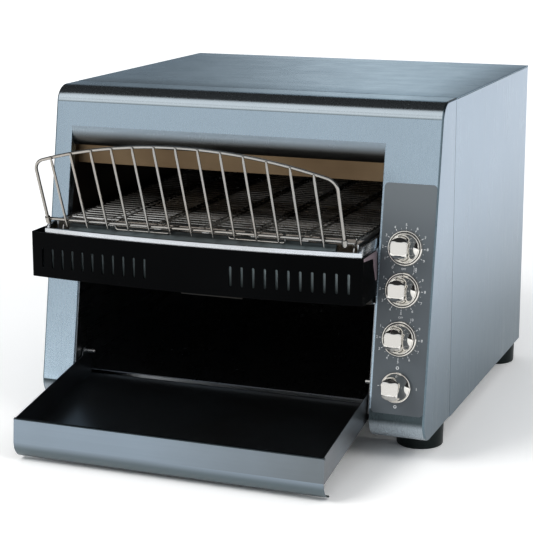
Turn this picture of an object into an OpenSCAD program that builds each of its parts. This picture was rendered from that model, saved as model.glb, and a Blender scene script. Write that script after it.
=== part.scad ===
// Conveyor toaster: a wire belt carries bread from a front rack through a heated
// chamber, drops it behind the belt and returns it down a chute to a front tray.
// X is across the front, -Y is the front, Z is up. Z = 0 is the table.

/* [Cabinet] */
// Width of the cabinet
body_w = 495; // [480:1:560]
// Height of the cabinet above its feet
body_h = 389; // [382:1:420]
// Depth from the fascia seam to the back edge
body_d = 385.5; // [383:0.5:430]
// How far the top front corner stands ahead of the seam
brow_d = 53.6; // [48:0.1:60]
// Backward lean of the front face in degrees
lean = 9.6; // [8.5:0.1:10.5]
// Radius of the roll along the top of the face
roll_top_r = 23; // [10:1:30]
// Radius of the roll at the foot of each column
roll_bottom_r = 26; // [10:1:30]
// Thickness of the cabinet sheet
sheet_t = 1.2; // [0.8:0.1:1.5]
// Open line between neighbouring panels
seam_gap = 0.8; // [0.3:0.1:1.5]
// Width of the turned-in panel edges
flange_w = 14; // [8:1:18]

/* [Front opening] */
// Width of the column left of the product tray
column_l = 42.5; // [38:0.5:46]
// Width of the control column on the right
column_r = 67.5; // [66:0.5:72]
// Height from the cabinet top down to the entry hood
hood_drop = 48; // [40:1:52]
// Radius of the rolled hood above the entry
hood_r = 28; // [20:1:30]
// Angle through which the hood rolls inwards
hood_turn = 55; // [40:1:60]
// Depth of the turned edges of the opening
edge_return = 12; // [6:1:14]
// Height of the baffle strip under the hood
baffle_h = 24; // [15:1:28]

/* [Toasting chamber] */
// Thickness of the inner walls
wall_t = 1.5; // [1:0.1:2]
// Space between the left side of the cabinet and the chamber
left_space = 23.5; // [20:0.5:28]
// Space between the back panel and the rear deflector
back_space = 32; // [30:1:40]
// Bend at the deflector's foot, as a share of the widest bend its floor has room for
deflector_share = 0.825; // [0.4:0.005:0.95]
// Height of the bread space above the belt
bread_h = 57; // [50:1:60]
// Height of the upper heater box
heater_box_h = 30; // [24:1:34]
// Radius of a quartz heater tube
tube_r = 5; // [4:0.5:6]
// Number of upper heater tubes
upper_tubes = 5; // [3:1:6]
// Number of lower heater tubes
lower_tubes = 4; // [2:1:4]
// Radius of the wires under the upper heaters
grid_wire_r = 1.25; // [1:0.05:1.5]
// Number of wires under the upper heaters
grid_wires = 8; // [4:1:10]

/* [Conveyor] */
// Height of the belt's top above the table
belt_top_z = 263; // [258:1:266]
// How far the belt's nose stands ahead of the seam
belt_nose = 129; // [124:1:132]
// Gap between the belt's edge and the chamber wall
belt_gap = 16; // [14:0.5:22]
// Spacing of the belt's cross rods
belt_pitch = 12.7; // [12:0.1:13]
// Radius of a cross rod
rod_r = 1.5; // [1.2:0.1:1.8]
// Number of rod spacings between the two shafts
belt_links = 30; // [27:1:30]
// Number of teeth on a belt sprocket
belt_teeth = 12; // [12]
// Number of belt sprockets on each shaft
sprocket_count = 4; // [2:1:6]
// Radius of the drive shaft
drive_r = 6; // [5:0.5:7]
// Radius of the idler shaft
idler_r = 5; // [4:0.5:6]
// Running clearance round each shaft
running = 0.05; // [0.02:0.01:0.09]
// Depth of the conveyor side rails below the shafts
rail_drop = 16; // [13:1:17]
// Clearance between a wheel's teeth and the rods or rollers round it
loop_gap = 0.4; // [0.3:0.05:0.6]
// Depth of the gaps between a wheel's teeth
tooth_h = 2; // [1:0.1:2.5]

/* [Chain drive] */
// Pitch of the drive chain
chain_pitch = 9.525; // [9:0.025:10]
// Teeth on each chain sprocket
chain_teeth = 12; // [12]
// Number of chain pitches between the sprockets
chain_links = 14; // [12:1:14]
// Radius of a chain roller
roller_r = 2.54; // [2.2:0.02:2.7]
// Distance of the chain's middle from the chamber wall
chain_off = 14.5; // [12:0.5:16]
// Length of the guide along the chain
guide_h = 28; // [16:1:36]
// Thickness of the guide's shoe
guide_t = 4; // [2:0.5:6]
// Width of the gearbox across its square face
gearbox_w = 66; // [56:1:72]
// Thickness of the gearbox
gearbox_t = 26; // [20:1:30]
// Radius of the motor can
motor_r = 20; // [15:1:22]
// Length of the motor can
motor_l = 72; // [50:1:90]

/* [Heat guard] */
// Height of the guard
guard_h = 55; // [48:1:58]
// How far the guard's middle stands ahead of the seam
guard_reach = 156.5; // [154:0.5:160]
// How far the guard bows forward at its middle
guard_bow = 13; // [8:1:14]
// How far the guard overlaps the left column
guard_lap = 35; // [28:0.5:38]
// Height of the guard's slots
guard_slot_h = 24; // [14:1:30]
// Width of a guard slot
guard_slot_w = 3; // [2:0.2:4]
// Spacing of the guard slots
guard_slot_pitch = 14; // [10:0.5:15]
// Number of slots in each of the two groups
guard_slots = 11; // [6:1:11]
// How far the guard's brackets reach behind the face
bracket_l = 34; // [32:1:40]
// Plain length of guard between the two groups of slots
guard_plain = 109; // [80:1:120]

/* [Conveyor pan] */
// Height of the bright lip above the guard's top edge
lip_show = 5; // [3:0.5:8]
// Gap between the guard and the pan's lip
lip_gap = 3.8; // [3:0.1:5]
// Rise of the pan's side lips above its front lip
side_lip_rise = 6.5; // [2:0.5:8]
// Width of the turned-in top edge of the pan's lips
lip_flange = 4; // [2:0.5:5]
// How far the pan's bowed wall hangs below its floor
pan_apron = 36; // [20:1:42]
// How far the pan's side lips reach behind the face
pan_back = 26; // [20:1:30]
// Length of belt edge left open beside the shelf
shelf_short = 17; // [12:1:24]

/* [Feed rack] */
// Spacing of the upright wires
rack_pitch = 27.1; // [24:0.1:28]
// Height of the hoop's middle above its cross wire
rack_h = 110; // [90:1:125]
// Forward tilt of the rack in degrees
rack_tilt = 20.9; // [15:0.1:25]
// Distance of the rack's left leg from the pan's left side
rack_gap_l = 7.6; // [6:0.1:12]
// Distance of the rack's right leg from the pan's right side
rack_gap_r = 18.4; // [6:0.1:24]
// Radius of the hoop's long top curve
rack_arc_r = 591; // [500:1:900]
// Radius of the hoop's corners
rack_corner_r = 16; // [10:1:24]
// Radius of the hoop and cross wire
hoop_r = 2; // [1.6:0.1:2.4]
// Radius of the upright wires
upright_r = 1.6; // [1.2:0.1:1.9]
// Height of the cross wire above the belt's top
rack_lift = 2; // [1:0.5:4]
// How far the loops hang below the cross wire
rack_loop_drop = 10; // [6:0.5:10.5]

/* [Product tray] */
// Downward slope of the tray and chute in degrees
tray_slope = 9.5; // [8:0.1:10]
// How far the tray's lip stands ahead of the seam
tray_reach = 264.5; // [240:0.5:290]
// Height of the lip's top edge above the table
tray_lip_z = 53; // [48:1:58]
// Height of the tray's walls above its floor
tray_wall_h = 31; // [24:1:34]
// Radius of the curl under the lip
tray_curl_r = 22; // [18:0.5:22]
// Angle through which the tray's lip curls under
tray_curl_turn = 80; // [60:1:90]
// Gap between the tray and the chute's walls
tray_gap = 1.3; // [0.6:0.1:2]
// Radius of the tray's hanging pins
pin_r = 3; // [2:0.2:3.4]
// Length of a hanging pin
pin_l = 13; // [8:1:16]
// Clearance round parts that slide
slide_gap = 0.4; // [0.3:0.05:0.6]
// Depth of the crumb tray
crumb_h = 7; // [5:0.5:7.5]

/* [Controls] */
// Drop from the cabinet's top to the speed knob, as a share of the cabinet's height
knob_drop = 0.4242; // [0.4:0.0002:0.45]
// Distance from the speed knob to the top heat knob, as a share of the cabinet's height
first_pitch = 0.1234; // [0.12:0.0002:0.14]
// Spacing of the lower three knobs, as a share of the cabinet's height
knob_pitch = 0.1422; // [0.13:0.0002:0.146]
// Radius of a knob's skirt
knob_r = 18; // [15:0.5:18.5]
// How far a knob stands off its label
knob_h = 27.7; // [24:0.1:31]
// Width of a knob's grip bar
grip_w = 19.5; // [14:0.5:22]
// Length of a grip bar at its top
grip_l = 25.2; // [22:0.2:30]
// Length of the flat along a grip bar's top
grip_flat = 14.6; // [8:0.2:18]
// How far a grip bar's ends slope back
grip_drop = 4.2; // [2:0.1:6]
// Radius of a knob's spindle
spindle_r = 3; // [2.5:0.1:3.5]
// Width of a bezel ring
bezel_w = 2.7; // [1.2:0.1:3]
// Width of the control label
label_w = 62.5; // [56:0.5:63]
// Drop from the cabinet's top to the label, as a share of the cabinet's height
label_drop = 0.2365; // [0.2:0.0005:0.26]
// Height of the label, as a share of the cabinet's height
label_rise = 0.6755; // [0.6:0.0005:0.69]
// Thickness of the control label
label_t = 0.8; // [0.5:0.1:1.2]
// Size of a control's square body
switch_w = 34; // [28:1:38]
// Depth of a control behind the face
switch_d = 28; // [24:1:34]

/* [Rear] */
// Width of the square cooling fan
fan_w = 119; // [100:1:125]
// Distance of the fan's middle from the chamber's right wall
fan_in = 70; // [66:1:100]
// Depth of the cooling fan
fan_d = 25; // [20:1:26]
// Number of fan blades
fan_blades = 7; // [5:1:9]
// Radius of the cord hole in the gland
cord_r = 6.5; // [5:0.5:8]
// How far the cord gland stands behind the cabinet
gland_out = 9; // [6:1:12]

/* [Feet] */
// Height of the feet
foot_h = 26; // [22:1:32]
// Radius of the feet
foot_r = 28.5; // [20:0.5:28.5]
// Distance of the feet's centres from the cabinet's sides
foot_in = 29; // [29:0.5:34]
// Distance of the front feet's centres ahead of the seam
foot_front = 28; // [20:1:40]
// Distance of the rear feet's centres from the back edge
foot_rear = 35; // [32:1:60]
// Radius of a foot's bolt
foot_bolt_r = 3; // [2:0.5:3]

/* [Hidden] */
$fn = 48;
cut = 1;
body_top = foot_h + body_h;
side_x = body_w / 2;
back_y = body_d - 2 * sheet_t;
frame_shift = (tray_reach - body_d - gland_out) / 2;

// Front opening and chamber
open_l = column_l - side_x;
open_r = side_x - column_r;
hood_z = body_top - hood_drop;
chamber_l = left_space - side_x;
chamber_r = open_r;
chamber_rear = back_y - back_space;
chamber_mid = (chamber_l + chamber_r) / 2;
brow = [-brow_d, body_top];
toe = [face_y(foot_h), foot_h];

// Belt and shafts
belt_l = chamber_l + belt_gap;
belt_r = chamber_r - belt_gap;
pitch_r = belt_pitch / (2 * sin(180 / belt_teeth));
band_r = rod_r + 0.3;
band_w = 1.5;
shaft_z = belt_top_z - pitch_r - band_r;
idler_y = -belt_nose + pitch_r + band_r;
drive_y = idler_y + belt_links * belt_pitch;
rail_off = band_w + 3;
rail_l = belt_l - rail_off;
rail_r = belt_r + rail_off;
rail_z = shaft_z - rail_drop;
rail_top = shaft_z + pitch_r - band_r;
bush_r = 8;
bearing_r = 9;

// Heaters
tube_z = shaft_z + 1.5;
grid_z = belt_top_z + bread_h;
box_z = grid_z + grid_wire_r;
upper_tube_z = box_z + heater_box_h / 2;
box_front = -brow_d + edge_return + 2;
box_rear = chamber_rear - 25;
cap_r = tube_r + 2;
cap_l = 5;
low_front = idler_y + pitch_r + 18;
low_rear = drive_y - pitch_r - 8;

// Chain drive
chain_x = chamber_r + chain_off;
chain_r = chain_pitch / (2 * sin(180 / chain_teeth));
motor_z = shaft_z - chain_links * chain_pitch;
chain_in = 5;
chain_plate_t = 1;
chain_half = 4;
plate_x = chain_x + chain_in / 2 + 5;

// Guard and pan
lip_top = belt_top_z - 10;
guard_top = lip_top - lip_show;
guard_l = open_l - guard_lap;
guard_r = open_r + sheet_t;
guard_mid = (guard_l + guard_r) / 2;
guard_half = (guard_r - guard_l) / 2;
guard_arc = (guard_half * guard_half + guard_bow * guard_bow) / (2 * guard_bow);
guard_end_y = guard_bow - guard_reach;
lip_depth = sheet_t + lip_gap;
pan_l = chamber_l + wall_t;
pan_r = chamber_r - wall_t;
pan_z = shaft_z;
shelf_back = -belt_nose - 3.5;
bracket_rear = face_y(guard_top) + bracket_l;
step_z = belt_top_z - 2 * (pitch_r + band_r) - 3;

// Tray, chute and crumb tray
fall = tan(tray_slope);
floor_t = sheet_t;
tray_l = open_l + sheet_t + tray_gap;
tray_r = open_r - sheet_t - tray_gap;
pin_y = toe[0] + 41;
tray_end = pin_y + 8;
chute_lift = 3 + floor_t;
chute_front = pin_y - 5;
ledge_z = guard_top - guard_h - crumb_h - 2;
ledge_w = 8;
chute_rear = drive_y + 18;
lap_l = 6;
pin_z = tray_top(pin_y) + 1;

// Rack
rack_w = pan_r - rack_gap_r - pan_l - rack_gap_l;
rack_mid = pan_l + rack_gap_l + rack_w / 2;
rack_wires = floor(rack_w / rack_pitch);
rack_z = belt_top_z + rack_lift;
rack_y = guard_end_y - 2.5;
rack_stub = 5;
rack_foot_z = rack_z - rack_stub * cos(rack_tilt) - hoop_r * sin(rack_tilt);

// Controls
knob_x = side_x - 35.5;
bushing_r = spindle_r + 1.8;
label_x = side_x - 2 - label_w / 2;
label_h = body_h * label_rise / cos(lean);
label_z = body_top - body_h * (label_drop + label_rise / 2);

// Rear pieces
screw_r = 1.8;
fan_x = chamber_r - fan_in;
fan_z = foot_h + 22 + fan_w / 2;
fan_bore = fan_w / 2 - 3;
fan_hub = 27;
fan_pin_r = 2;
gland_x = side_x - 34;
gland_z = foot_h + 46;

// Front face of the fascia at height z
function face_y(z) = -(brow_d + tan(lean) * (body_top - z));
// Top surface of the tray's floor, and the tray wall's top edge, at depth y
function tray_floor(y) = tray_lip_z - tray_wall_h + fall * (y + tray_reach);
function tray_top(y) = tray_lip_z + fall * (y + tray_reach);
function chute_floor(y) = tray_floor(y) + chute_lift;
function chute_top(y) = chute_floor(y) + floor_t / cos(tray_slope) - floor_t;
function knob_z(i) = body_top - body_h * (knob_drop + (i > 0 ? first_pitch + (i - 1) * knob_pitch : 0));
function spread(a, b, n, i) = a + (b - a) * (i + 0.5) / n;
function unit(v) = v / norm(v);

// Points of the arc of radius r that rounds the corner at p between a and b
function fillet(a, p, b, r, n = 8) =
  let (u = unit(a - p), w = unit(b - p), h = acos(u * w) / 2)
  let (c = p + unit(u + w) * r / sin(h))
  let (s = p + u * r / tan(h) - c, e = p + w * r / tan(h) - c)
  let (a0 = atan2(s[1], s[0]), d = atan2(e[1], e[0]) - a0)
  let (turn = d > 180 ? d - 360 : d < -180 ? d + 360 : d)
  [for (i = [0:n]) c + r * [cos(a0 + turn * i / n), sin(a0 + turn * i / n)]];

function arc(c, r, a0, a1, n) =
  [for (i = [0:n]) c + r * [cos(a0 + (a1 - a0) * i / n), sin(a0 + (a1 - a0) * i / n)]];

// A folded sheet: the path, and the same path t to its left
function seg_normal(a, b) = let (d = unit(b - a)) [-d[1], d[0]];
function miter(p, i) =
  i == 0 ? seg_normal(p[0], p[1]) :
  i == len(p) - 1 ? seg_normal(p[i - 1], p[i]) :
  let (s = seg_normal(p[i - 1], p[i]) + seg_normal(p[i], p[i + 1])) 2 * s / (s * s);
function sheet(p, t) = concat(p, [for (i = [len(p) - 1:-1:0]) p[i] + t * miter(p, i)]);

function rounded(w, h, r) = concat(
  arc([w / 2 - r, h / 2 - r], r, 0, 90, 5), arc([r - w / 2, h / 2 - r], r, 90, 180, 5),
  arc([r - w / 2, r - h / 2], r, 180, 270, 5), arc([w / 2 - r, r - h / 2], r, 270, 360, 5));

// The flat outline [y, z], carried from x0 to x1
module along_x(x0, x1) {
  translate([x0, 0, 0])
    rotate([90, 0, 90])
      linear_extrude(x1 - x0)
        children();
}

module box(lo, hi) {
  translate(lo)
    cube(hi - lo);
}

module x_rod(x0, x1, y, z, r) {
  translate([x0, y, z])
    rotate([0, 90, 0])
      cylinder(r = r, h = x1 - x0);
}

module y_rod(y0, y1, x, z, r) {
  translate([x, y0, z])
    rotate([-90, 0, 0])
      cylinder(r = r, h = y1 - y0);
}

// Local Z is the face's outward normal and local Y runs up the face
module on_face(x, z) {
  translate([x, face_y(z), z])
    rotate([90 - lean, 0, 0])
      children();
}

// Everything is built from the fascia seam and moved to the middle of its floor plan
module placed() {
  translate([0, frame_shift, 0])
    children();
}

module mirror_mid() {
  translate([2 * chamber_mid, 0, 0])
    mirror([1, 0, 0])
      children();
}

// Cabinet

fascia_line = concat(
  [[0, body_top]], fillet([0, body_top], brow, toe, roll_top_r),
  fillet(brow, toe, [0, foot_h], roll_bottom_r), [[0, foot_h]]);
return_low = foot_h + 1.3 * roll_bottom_r;

module edge_strip(x, z0, z1) {
  along_x(x, x + sheet_t)
    polygon([
      [face_y(z0), z0], [face_y(z1), z1],
      [face_y(z1) + edge_return, z1], [face_y(z0) + edge_return, z0]]);
}

module front_fascia() {
  hood_start = [face_y(hood_z), hood_z];
  hood_c = hood_start + hood_r * [cos(lean), -sin(lean)];
  hood_line = concat(
    [[face_y(hood_z + 3), hood_z + 3]],
    arc(hood_c, hood_r, 180 - lean, 180 - lean + hood_turn, 8));
  color("lightsteelblue")
    placed() {
      difference() {
        union() {
          along_x(-side_x, side_x)
            polygon(sheet(fascia_line, sheet_t));
          for (x = [-side_x, side_x - sheet_t])
            along_x(x, x + sheet_t)
              polygon(fascia_line);
        }
        box([open_l, -guard_reach, foot_h - cut], [open_r, cut, step_z]);
        box([chamber_l, -guard_reach, step_z - cut], [open_r, -sheet_t, hood_z]);
        for (i = [0:3])
          on_face(knob_x, knob_z(i))
            cylinder(r = bushing_r + 0.2, h = 10 * sheet_t, center = true);
        at_feet()
          cylinder(r = foot_bolt_r + 0.2, h = 2 * foot_h);
      }
      along_x(chamber_l, open_r)
        polygon(sheet(hood_line, sheet_t));
      edge_strip(open_r, return_low, hood_z);
      edge_strip(open_l - sheet_t, return_low, step_z);
      edge_strip(chamber_l - sheet_t, step_z, hood_z);
    }
}

module top_cover() {
  inner_x = side_x - sheet_t;
  color("slategray")
    placed() {
      box([-side_x, seam_gap, body_top - sheet_t], [side_x, body_d, body_top]);
      difference() {
        box([flange_w + 2 - side_x, back_y + sheet_t, body_top - flange_w],
            [side_x - flange_w - 2, body_d, body_top]);
        at_screws()
          screw_hole();
      }
      box([-inner_x, -flange_w / 2, body_top - 2 * sheet_t],
          [inner_x, flange_w, body_top - sheet_t]);
      for (s = [-1, 1])
        box([min(s * inner_x, s * (inner_x - sheet_t)), flange_w, body_top - flange_w],
            [max(s * inner_x, s * (inner_x - sheet_t)), back_y - flange_w, body_top - sheet_t]);
    }
}

module side_panel() {
  top_z = body_top - sheet_t - seam_gap;
  difference() {
    union() {
      box([side_x - sheet_t, seam_gap, foot_h], [side_x, body_d, top_z]);
      box([side_x - flange_w, body_d - sheet_t, foot_h], [side_x, body_d, top_z]);
      box([side_x - flange_w, seam_gap, foot_h], [side_x, body_d, foot_h + sheet_t]);
      box([side_x - 2 * sheet_t, -flange_w / 2, foot_h + 3 * sheet_t],
          [side_x - sheet_t, flange_w, top_z - flange_w]);
    }
    at_screws()
      screw_hole();
    at_feet()
      cylinder(r = foot_bolt_r + 0.2, h = 2 * foot_h);
  }
}

module side_panel_right() {
  color("lightsteelblue")
    placed()
      side_panel();
}

module side_panel_left() {
  color("lightsteelblue")
    placed()
      mirror([1, 0, 0])
        side_panel();
}

vent_h = 44;
vent_pitch = 9;
vent_count = 12;

module back_panel() {
  x = side_x - sheet_t;
  color("silver")
    placed()
      difference() {
        box([-x, back_y, foot_h + sheet_t], [x, back_y + sheet_t, body_top - 2 * sheet_t]);
        y_rod(back_y - cut, body_d, fan_x, fan_z, fan_bore);
        y_rod(back_y - cut, body_d, gland_x, gland_z, cord_r + 3);
        for (s = [-1, 1], i = [0:vent_count - 1])
          translate([s * side_x / 2 + (i - (vent_count - 1) / 2) * vent_pitch, back_y, body_top - 90])
            cube([3, 4 * sheet_t, vent_h], center = true);
        at_screws()
          screw_hole();
      }
}

module base_pan() {
  x = side_x - sheet_t - slide_gap;
  z0 = foot_h + sheet_t;
  z1 = z0 + sheet_t;
  color("gray")
    placed()
      difference() {
        union() {
          box([-x, 2, z0], [x, back_y, z1]);
          box([-x, 2 - 1.4 * (foot_front + 20), z0], [open_l - 2, 2 + cut, z1]);
          box([open_r + 2, 2 - 1.4 * (foot_front + 20), z0], [x, 2 + cut, z1]);
          box([open_l, 2, z0], [open_r, 2 + sheet_t, z0 + 14]);
        }
        at_feet()
          cylinder(r = foot_bolt_r + 0.2, h = 2 * foot_h);
      }
}

// Chamber

module inner_wall(x0) {
  low = foot_h + 2 * sheet_t;
  high = box_z + heater_box_h + 8;
  low_y = face_y(return_low) + edge_return;
  difference() {
    along_x(x0, x0 + wall_t)
      polygon([
        [max(low_y, 2 + sheet_t), low], [max(low_y, 2 + sheet_t), return_low],
        [low_y, return_low],
        [face_y(hood_z) + edge_return, hood_z], [face_y(high) + hood_r + 6, hood_z],
        [face_y(high) + hood_r + 6, high], [chamber_rear, high], [chamber_rear, low]]);
    x_rod(x0 - cut, x0 + 2 * wall_t, drive_y, shaft_z, bearing_r);
    tube_rows()
      x_rod(x0 - cut, x0 + 2 * wall_t, 0, 0, tube_r + 1);
  }
}

// The given piece at each heater tube
module tube_rows() {
  for (i = [0:upper_tubes - 1])
    translate([0, spread(box_front, box_rear, upper_tubes, i), upper_tube_z])
      children();
  for (i = [0:lower_tubes - 1])
    translate([0, spread(low_front, low_rear, lower_tubes, i), tube_z])
      children();
}

module inner_wall_left() {
  color("dimgray")
    placed()
      inner_wall(chamber_l - wall_t);
}

module inner_wall_right() {
  color("dimgray")
    placed()
      inner_wall(chamber_r);
}

module entry_baffle() {
  y = box_front - 8;
  top = box_z + baffle_h;
  color("tan")
    placed()
      along_x(chamber_l, chamber_r)
        polygon(sheet([[box_front, top], [y, top], [y, box_z - 2]], sheet_t));
}

module upper_reflector() {
  color("silver")
    placed()
      along_x(chamber_l, chamber_r)
        polygon(sheet([
          [box_front, box_z], [box_front, box_z + heater_box_h],
          [box_rear, box_z + heater_box_h], [box_rear, box_z]], -sheet_t));
}

module heater_grid() {
  color("gainsboro")
    placed() {
      for (i = [0:grid_wires - 1])
        y_rod(box_front, box_rear, spread(chamber_l, chamber_r, grid_wires, i), grid_z, grid_wire_r);
      for (y = [box_front + 40, box_rear - 40])
        x_rod(chamber_l, chamber_r, y, grid_z + 1.7 * grid_wire_r, grid_wire_r);
    }
}

module lower_reflector() {
  z = shaft_z - pitch_r + band_r + 8;
  color("silver")
    placed()
      along_x(rail_l, rail_r)
        polygon(sheet([
          [low_front - 8, z + 8], [low_front - 8, z],
          [low_rear + 4, z], [low_rear + 4, z + 8]], sheet_t));
}

module tube_set(y0, y1, count, z) {
  for (i = [0:count - 1])
    x_rod(chamber_l - wall_t - cap_l, chamber_r + wall_t + cap_l, spread(y0, y1, count, i), z, tube_r);
}

module upper_heaters() {
  color("mistyrose")
    placed()
      tube_set(box_front, box_rear, upper_tubes, upper_tube_z);
}

module lower_heaters() {
  color("mistyrose")
    placed()
      tube_set(low_front, low_rear, lower_tubes, tube_z);
}

module heater_caps() {
  color("white")
    placed()
      tube_rows()
        for (x = [chamber_l - wall_t - cap_l, chamber_r + wall_t])
          difference() {
            x_rod(x, x + cap_l, 0, 0, cap_r);
            x_rod(x - cut, x + cap_l + cut, 0, 0, tube_r);
          }
}

module toast_chute() {
  wall_rear = chute_rear - lap_l - 1;
  wall = [
    [face_y(chute_floor(chute_front)) + 3, chute_floor(chute_front)],
    [face_y(ledge_z) + 3, ledge_z], [wall_rear, ledge_z],
    [wall_rear, chute_floor(wall_rear) - floor_t], [chute_front, chute_floor(chute_front) - floor_t]];
  floor_front = tray_end + tray_gap;
  floor_line = [
    [floor_front, chute_floor(floor_front) - floor_t],
    [chute_rear, chute_floor(chute_rear) - floor_t]];
  color("darkslategray")
    placed() {
      difference() {
        for (x = [open_l, open_r - sheet_t])
          along_x(x, x + sheet_t)
            polygon(wall);
        box([open_l - cut, pin_y + 1.5, pin_z + pin_r + 2],
            [open_r + cut, pin_y + 4.5, pin_z + pin_r + 26]);
      }
      along_x(open_l, open_r)
        polygon(sheet(floor_line, floor_t));
      for (x = [open_l, open_r - ledge_w])
        box([x, face_y(ledge_z) + 3, ledge_z - sheet_t], [x + ledge_w, wall_rear, ledge_z]);
    }
}

module rear_deflector() {
  corner = [chamber_rear, chute_top(chamber_rear)];
  lap = [chute_rear - lap_l, chute_top(chute_rear - lap_l)];
  bend_r = deflector_share * norm(corner - lap) * tan(45 + tray_slope / 2);
  line = concat([[chamber_rear, box_z + heater_box_h]],
                fillet([chamber_rear, box_z], corner, lap, bend_r), [lap]);
  color("silver")
    placed()
      along_x(chamber_l, chamber_r)
        polygon(sheet(line, -sheet_t));
}

// Product tray and crumb tray

module product_tray() {
  lip_foot = [-tray_reach, tray_floor(-tray_reach) + 2];
  lip_head = [-tray_reach + 2.5, tray_lip_z];
  curl = arc(lip_foot + [tray_curl_r, 0], tray_curl_r, 180, 180 + tray_curl_turn, 8);
  ear_y = pin_y - 9;
  ear_z = pin_z + pin_r + 4;
  wall = [
    lip_head, [ear_y - 3, tray_top(ear_y - 3)], [ear_y, ear_z], [tray_end, ear_z],
    [tray_end, tray_floor(tray_end) - floor_t], [-tray_reach, tray_floor(-tray_reach) - floor_t]];
  floor_line = [
    [1 - tray_reach, tray_floor(1 - tray_reach) - floor_t], [tray_end, tray_floor(tray_end) - floor_t]];
  color("lightslategray")
    placed() {
      difference() {
        for (x = [tray_l, tray_r - sheet_t])
          along_x(x, x + sheet_t)
            polygon(wall);
        box([tray_l - cut, pin_y - pin_r - slide_gap, pin_z - pin_r - slide_gap],
            [tray_r + cut, tray_end + cut, pin_z + pin_r + slide_gap]);
      }
      along_x(tray_l, tray_r)
        polygon(sheet(floor_line, floor_t));
      along_x(tray_l - 1, tray_r + 1)
        polygon(sheet(concat([lip_head], curl), floor_t));
      x_rod(tray_l - 1, tray_r + 1, lip_head[0] + 1.6, tray_lip_z - 1, 2);
    }
}

module tray_pins() {
  color("gainsboro")
    placed()
      for (x = [open_l + sheet_t, open_r - sheet_t - pin_l])
        x_rod(x, x + pin_l, pin_y, pin_z, pin_r);
}

module crumb_tray() {
  front = face_y(ledge_z) - 8;
  rear = chute_rear - 20;
  z = ledge_z + slide_gap;
  l = open_l + sheet_t + slide_gap;
  r = open_r - sheet_t - slide_gap;
  color("silver")
    placed() {
      difference() {
        box([l, front, z], [r, rear, z + crumb_h]);
        box([l + sheet_t, front + sheet_t, z + sheet_t], [r - sheet_t, rear - sheet_t, z + crumb_h + cut]);
      }
      box([chamber_mid - 40, front, z - 8], [chamber_mid + 40, front + sheet_t, z]);
    }
}

// Heat guard and its brackets

// Space behind the guard's curve drawn in by the given depth
module behind_bow(depth, z0, z1) {
  translate([guard_mid, guard_arc - guard_reach, z0])
    cylinder(r = guard_arc - depth, h = z1 - z0, $fn = 360);
}

module bowed_wall(depth, thick, x0, x1, z0, z1) {
  intersection() {
    difference() {
      behind_bow(depth, z0, z1);
      behind_bow(depth + thick, z0 - cut, z1 + cut);
    }
    box([x0, -guard_reach - cut, z0], [x1, guard_end_y + lip_depth + 8, z1]);
  }
}

module heat_guard() {
  low = guard_top - guard_h;
  corner = 10;
  back_low = face_y(low) - 1.5;
  back_top = face_y(guard_top) - 1.5;
  slot_z = low + guard_h * 0.22;
  color("black")
    placed() {
      difference() {
        bowed_wall(0, sheet_t, guard_l, guard_r, low, guard_top);
        for (s = [-1, 1], i = [0:guard_slots - 1])
          translate([guard_mid + s * (guard_plain / 2 + i * guard_slot_pitch), -guard_reach, slot_z])
            translate([-guard_slot_w / 2, -cut, 0])
              cube([guard_slot_w, guard_bow + 8, guard_slot_h]);
      }
      along_x(guard_l, guard_l + sheet_t)
        polygon([[guard_end_y + 0.2, low], [guard_end_y + 0.2, guard_top], [back_top, guard_top], [back_low, low]]);
      along_x(guard_r - sheet_t, guard_r)
        polygon(concat(
          [[guard_end_y + 0.2, low], [guard_end_y + 0.2, guard_top]],
          fillet([guard_end_y, guard_top], [back_top - 4, guard_top], [back_low - 4, low], corner),
          [[back_low - 4, low]]));
    }
}

// Upside-down L with a rounded inner corner, in the plane of the chamber wall
module guard_bracket_plate(x) {
  arm_top = guard_top + 3;
  arm_low = arm_top - 20;
  leg_y = bracket_rear - 30;
  leg_low = guard_top - guard_h + 12;
  front = guard_end_y + 3;
  inner = [leg_y, arm_low];
  along_x(x, x + wall_t)
    polygon(concat(
      [[front, arm_top - 6], [bracket_rear, arm_top], [bracket_rear, leg_low], [leg_y, leg_low]],
      fillet([leg_y, leg_low], inner, [front, arm_low], 9), [[front, arm_low]]));
}

module guard_bracket_right() {
  color("thistle")
    placed()
      guard_bracket_plate(chamber_r - wall_t);
}

module guard_bracket_left() {
  y = guard_end_y + 3;
  color("thistle")
    placed() {
      guard_bracket_plate(chamber_l);
      box([guard_l + sheet_t, y, guard_top - 17], [chamber_l + wall_t, y + wall_t, guard_top - 3]);
    }
}

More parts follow.
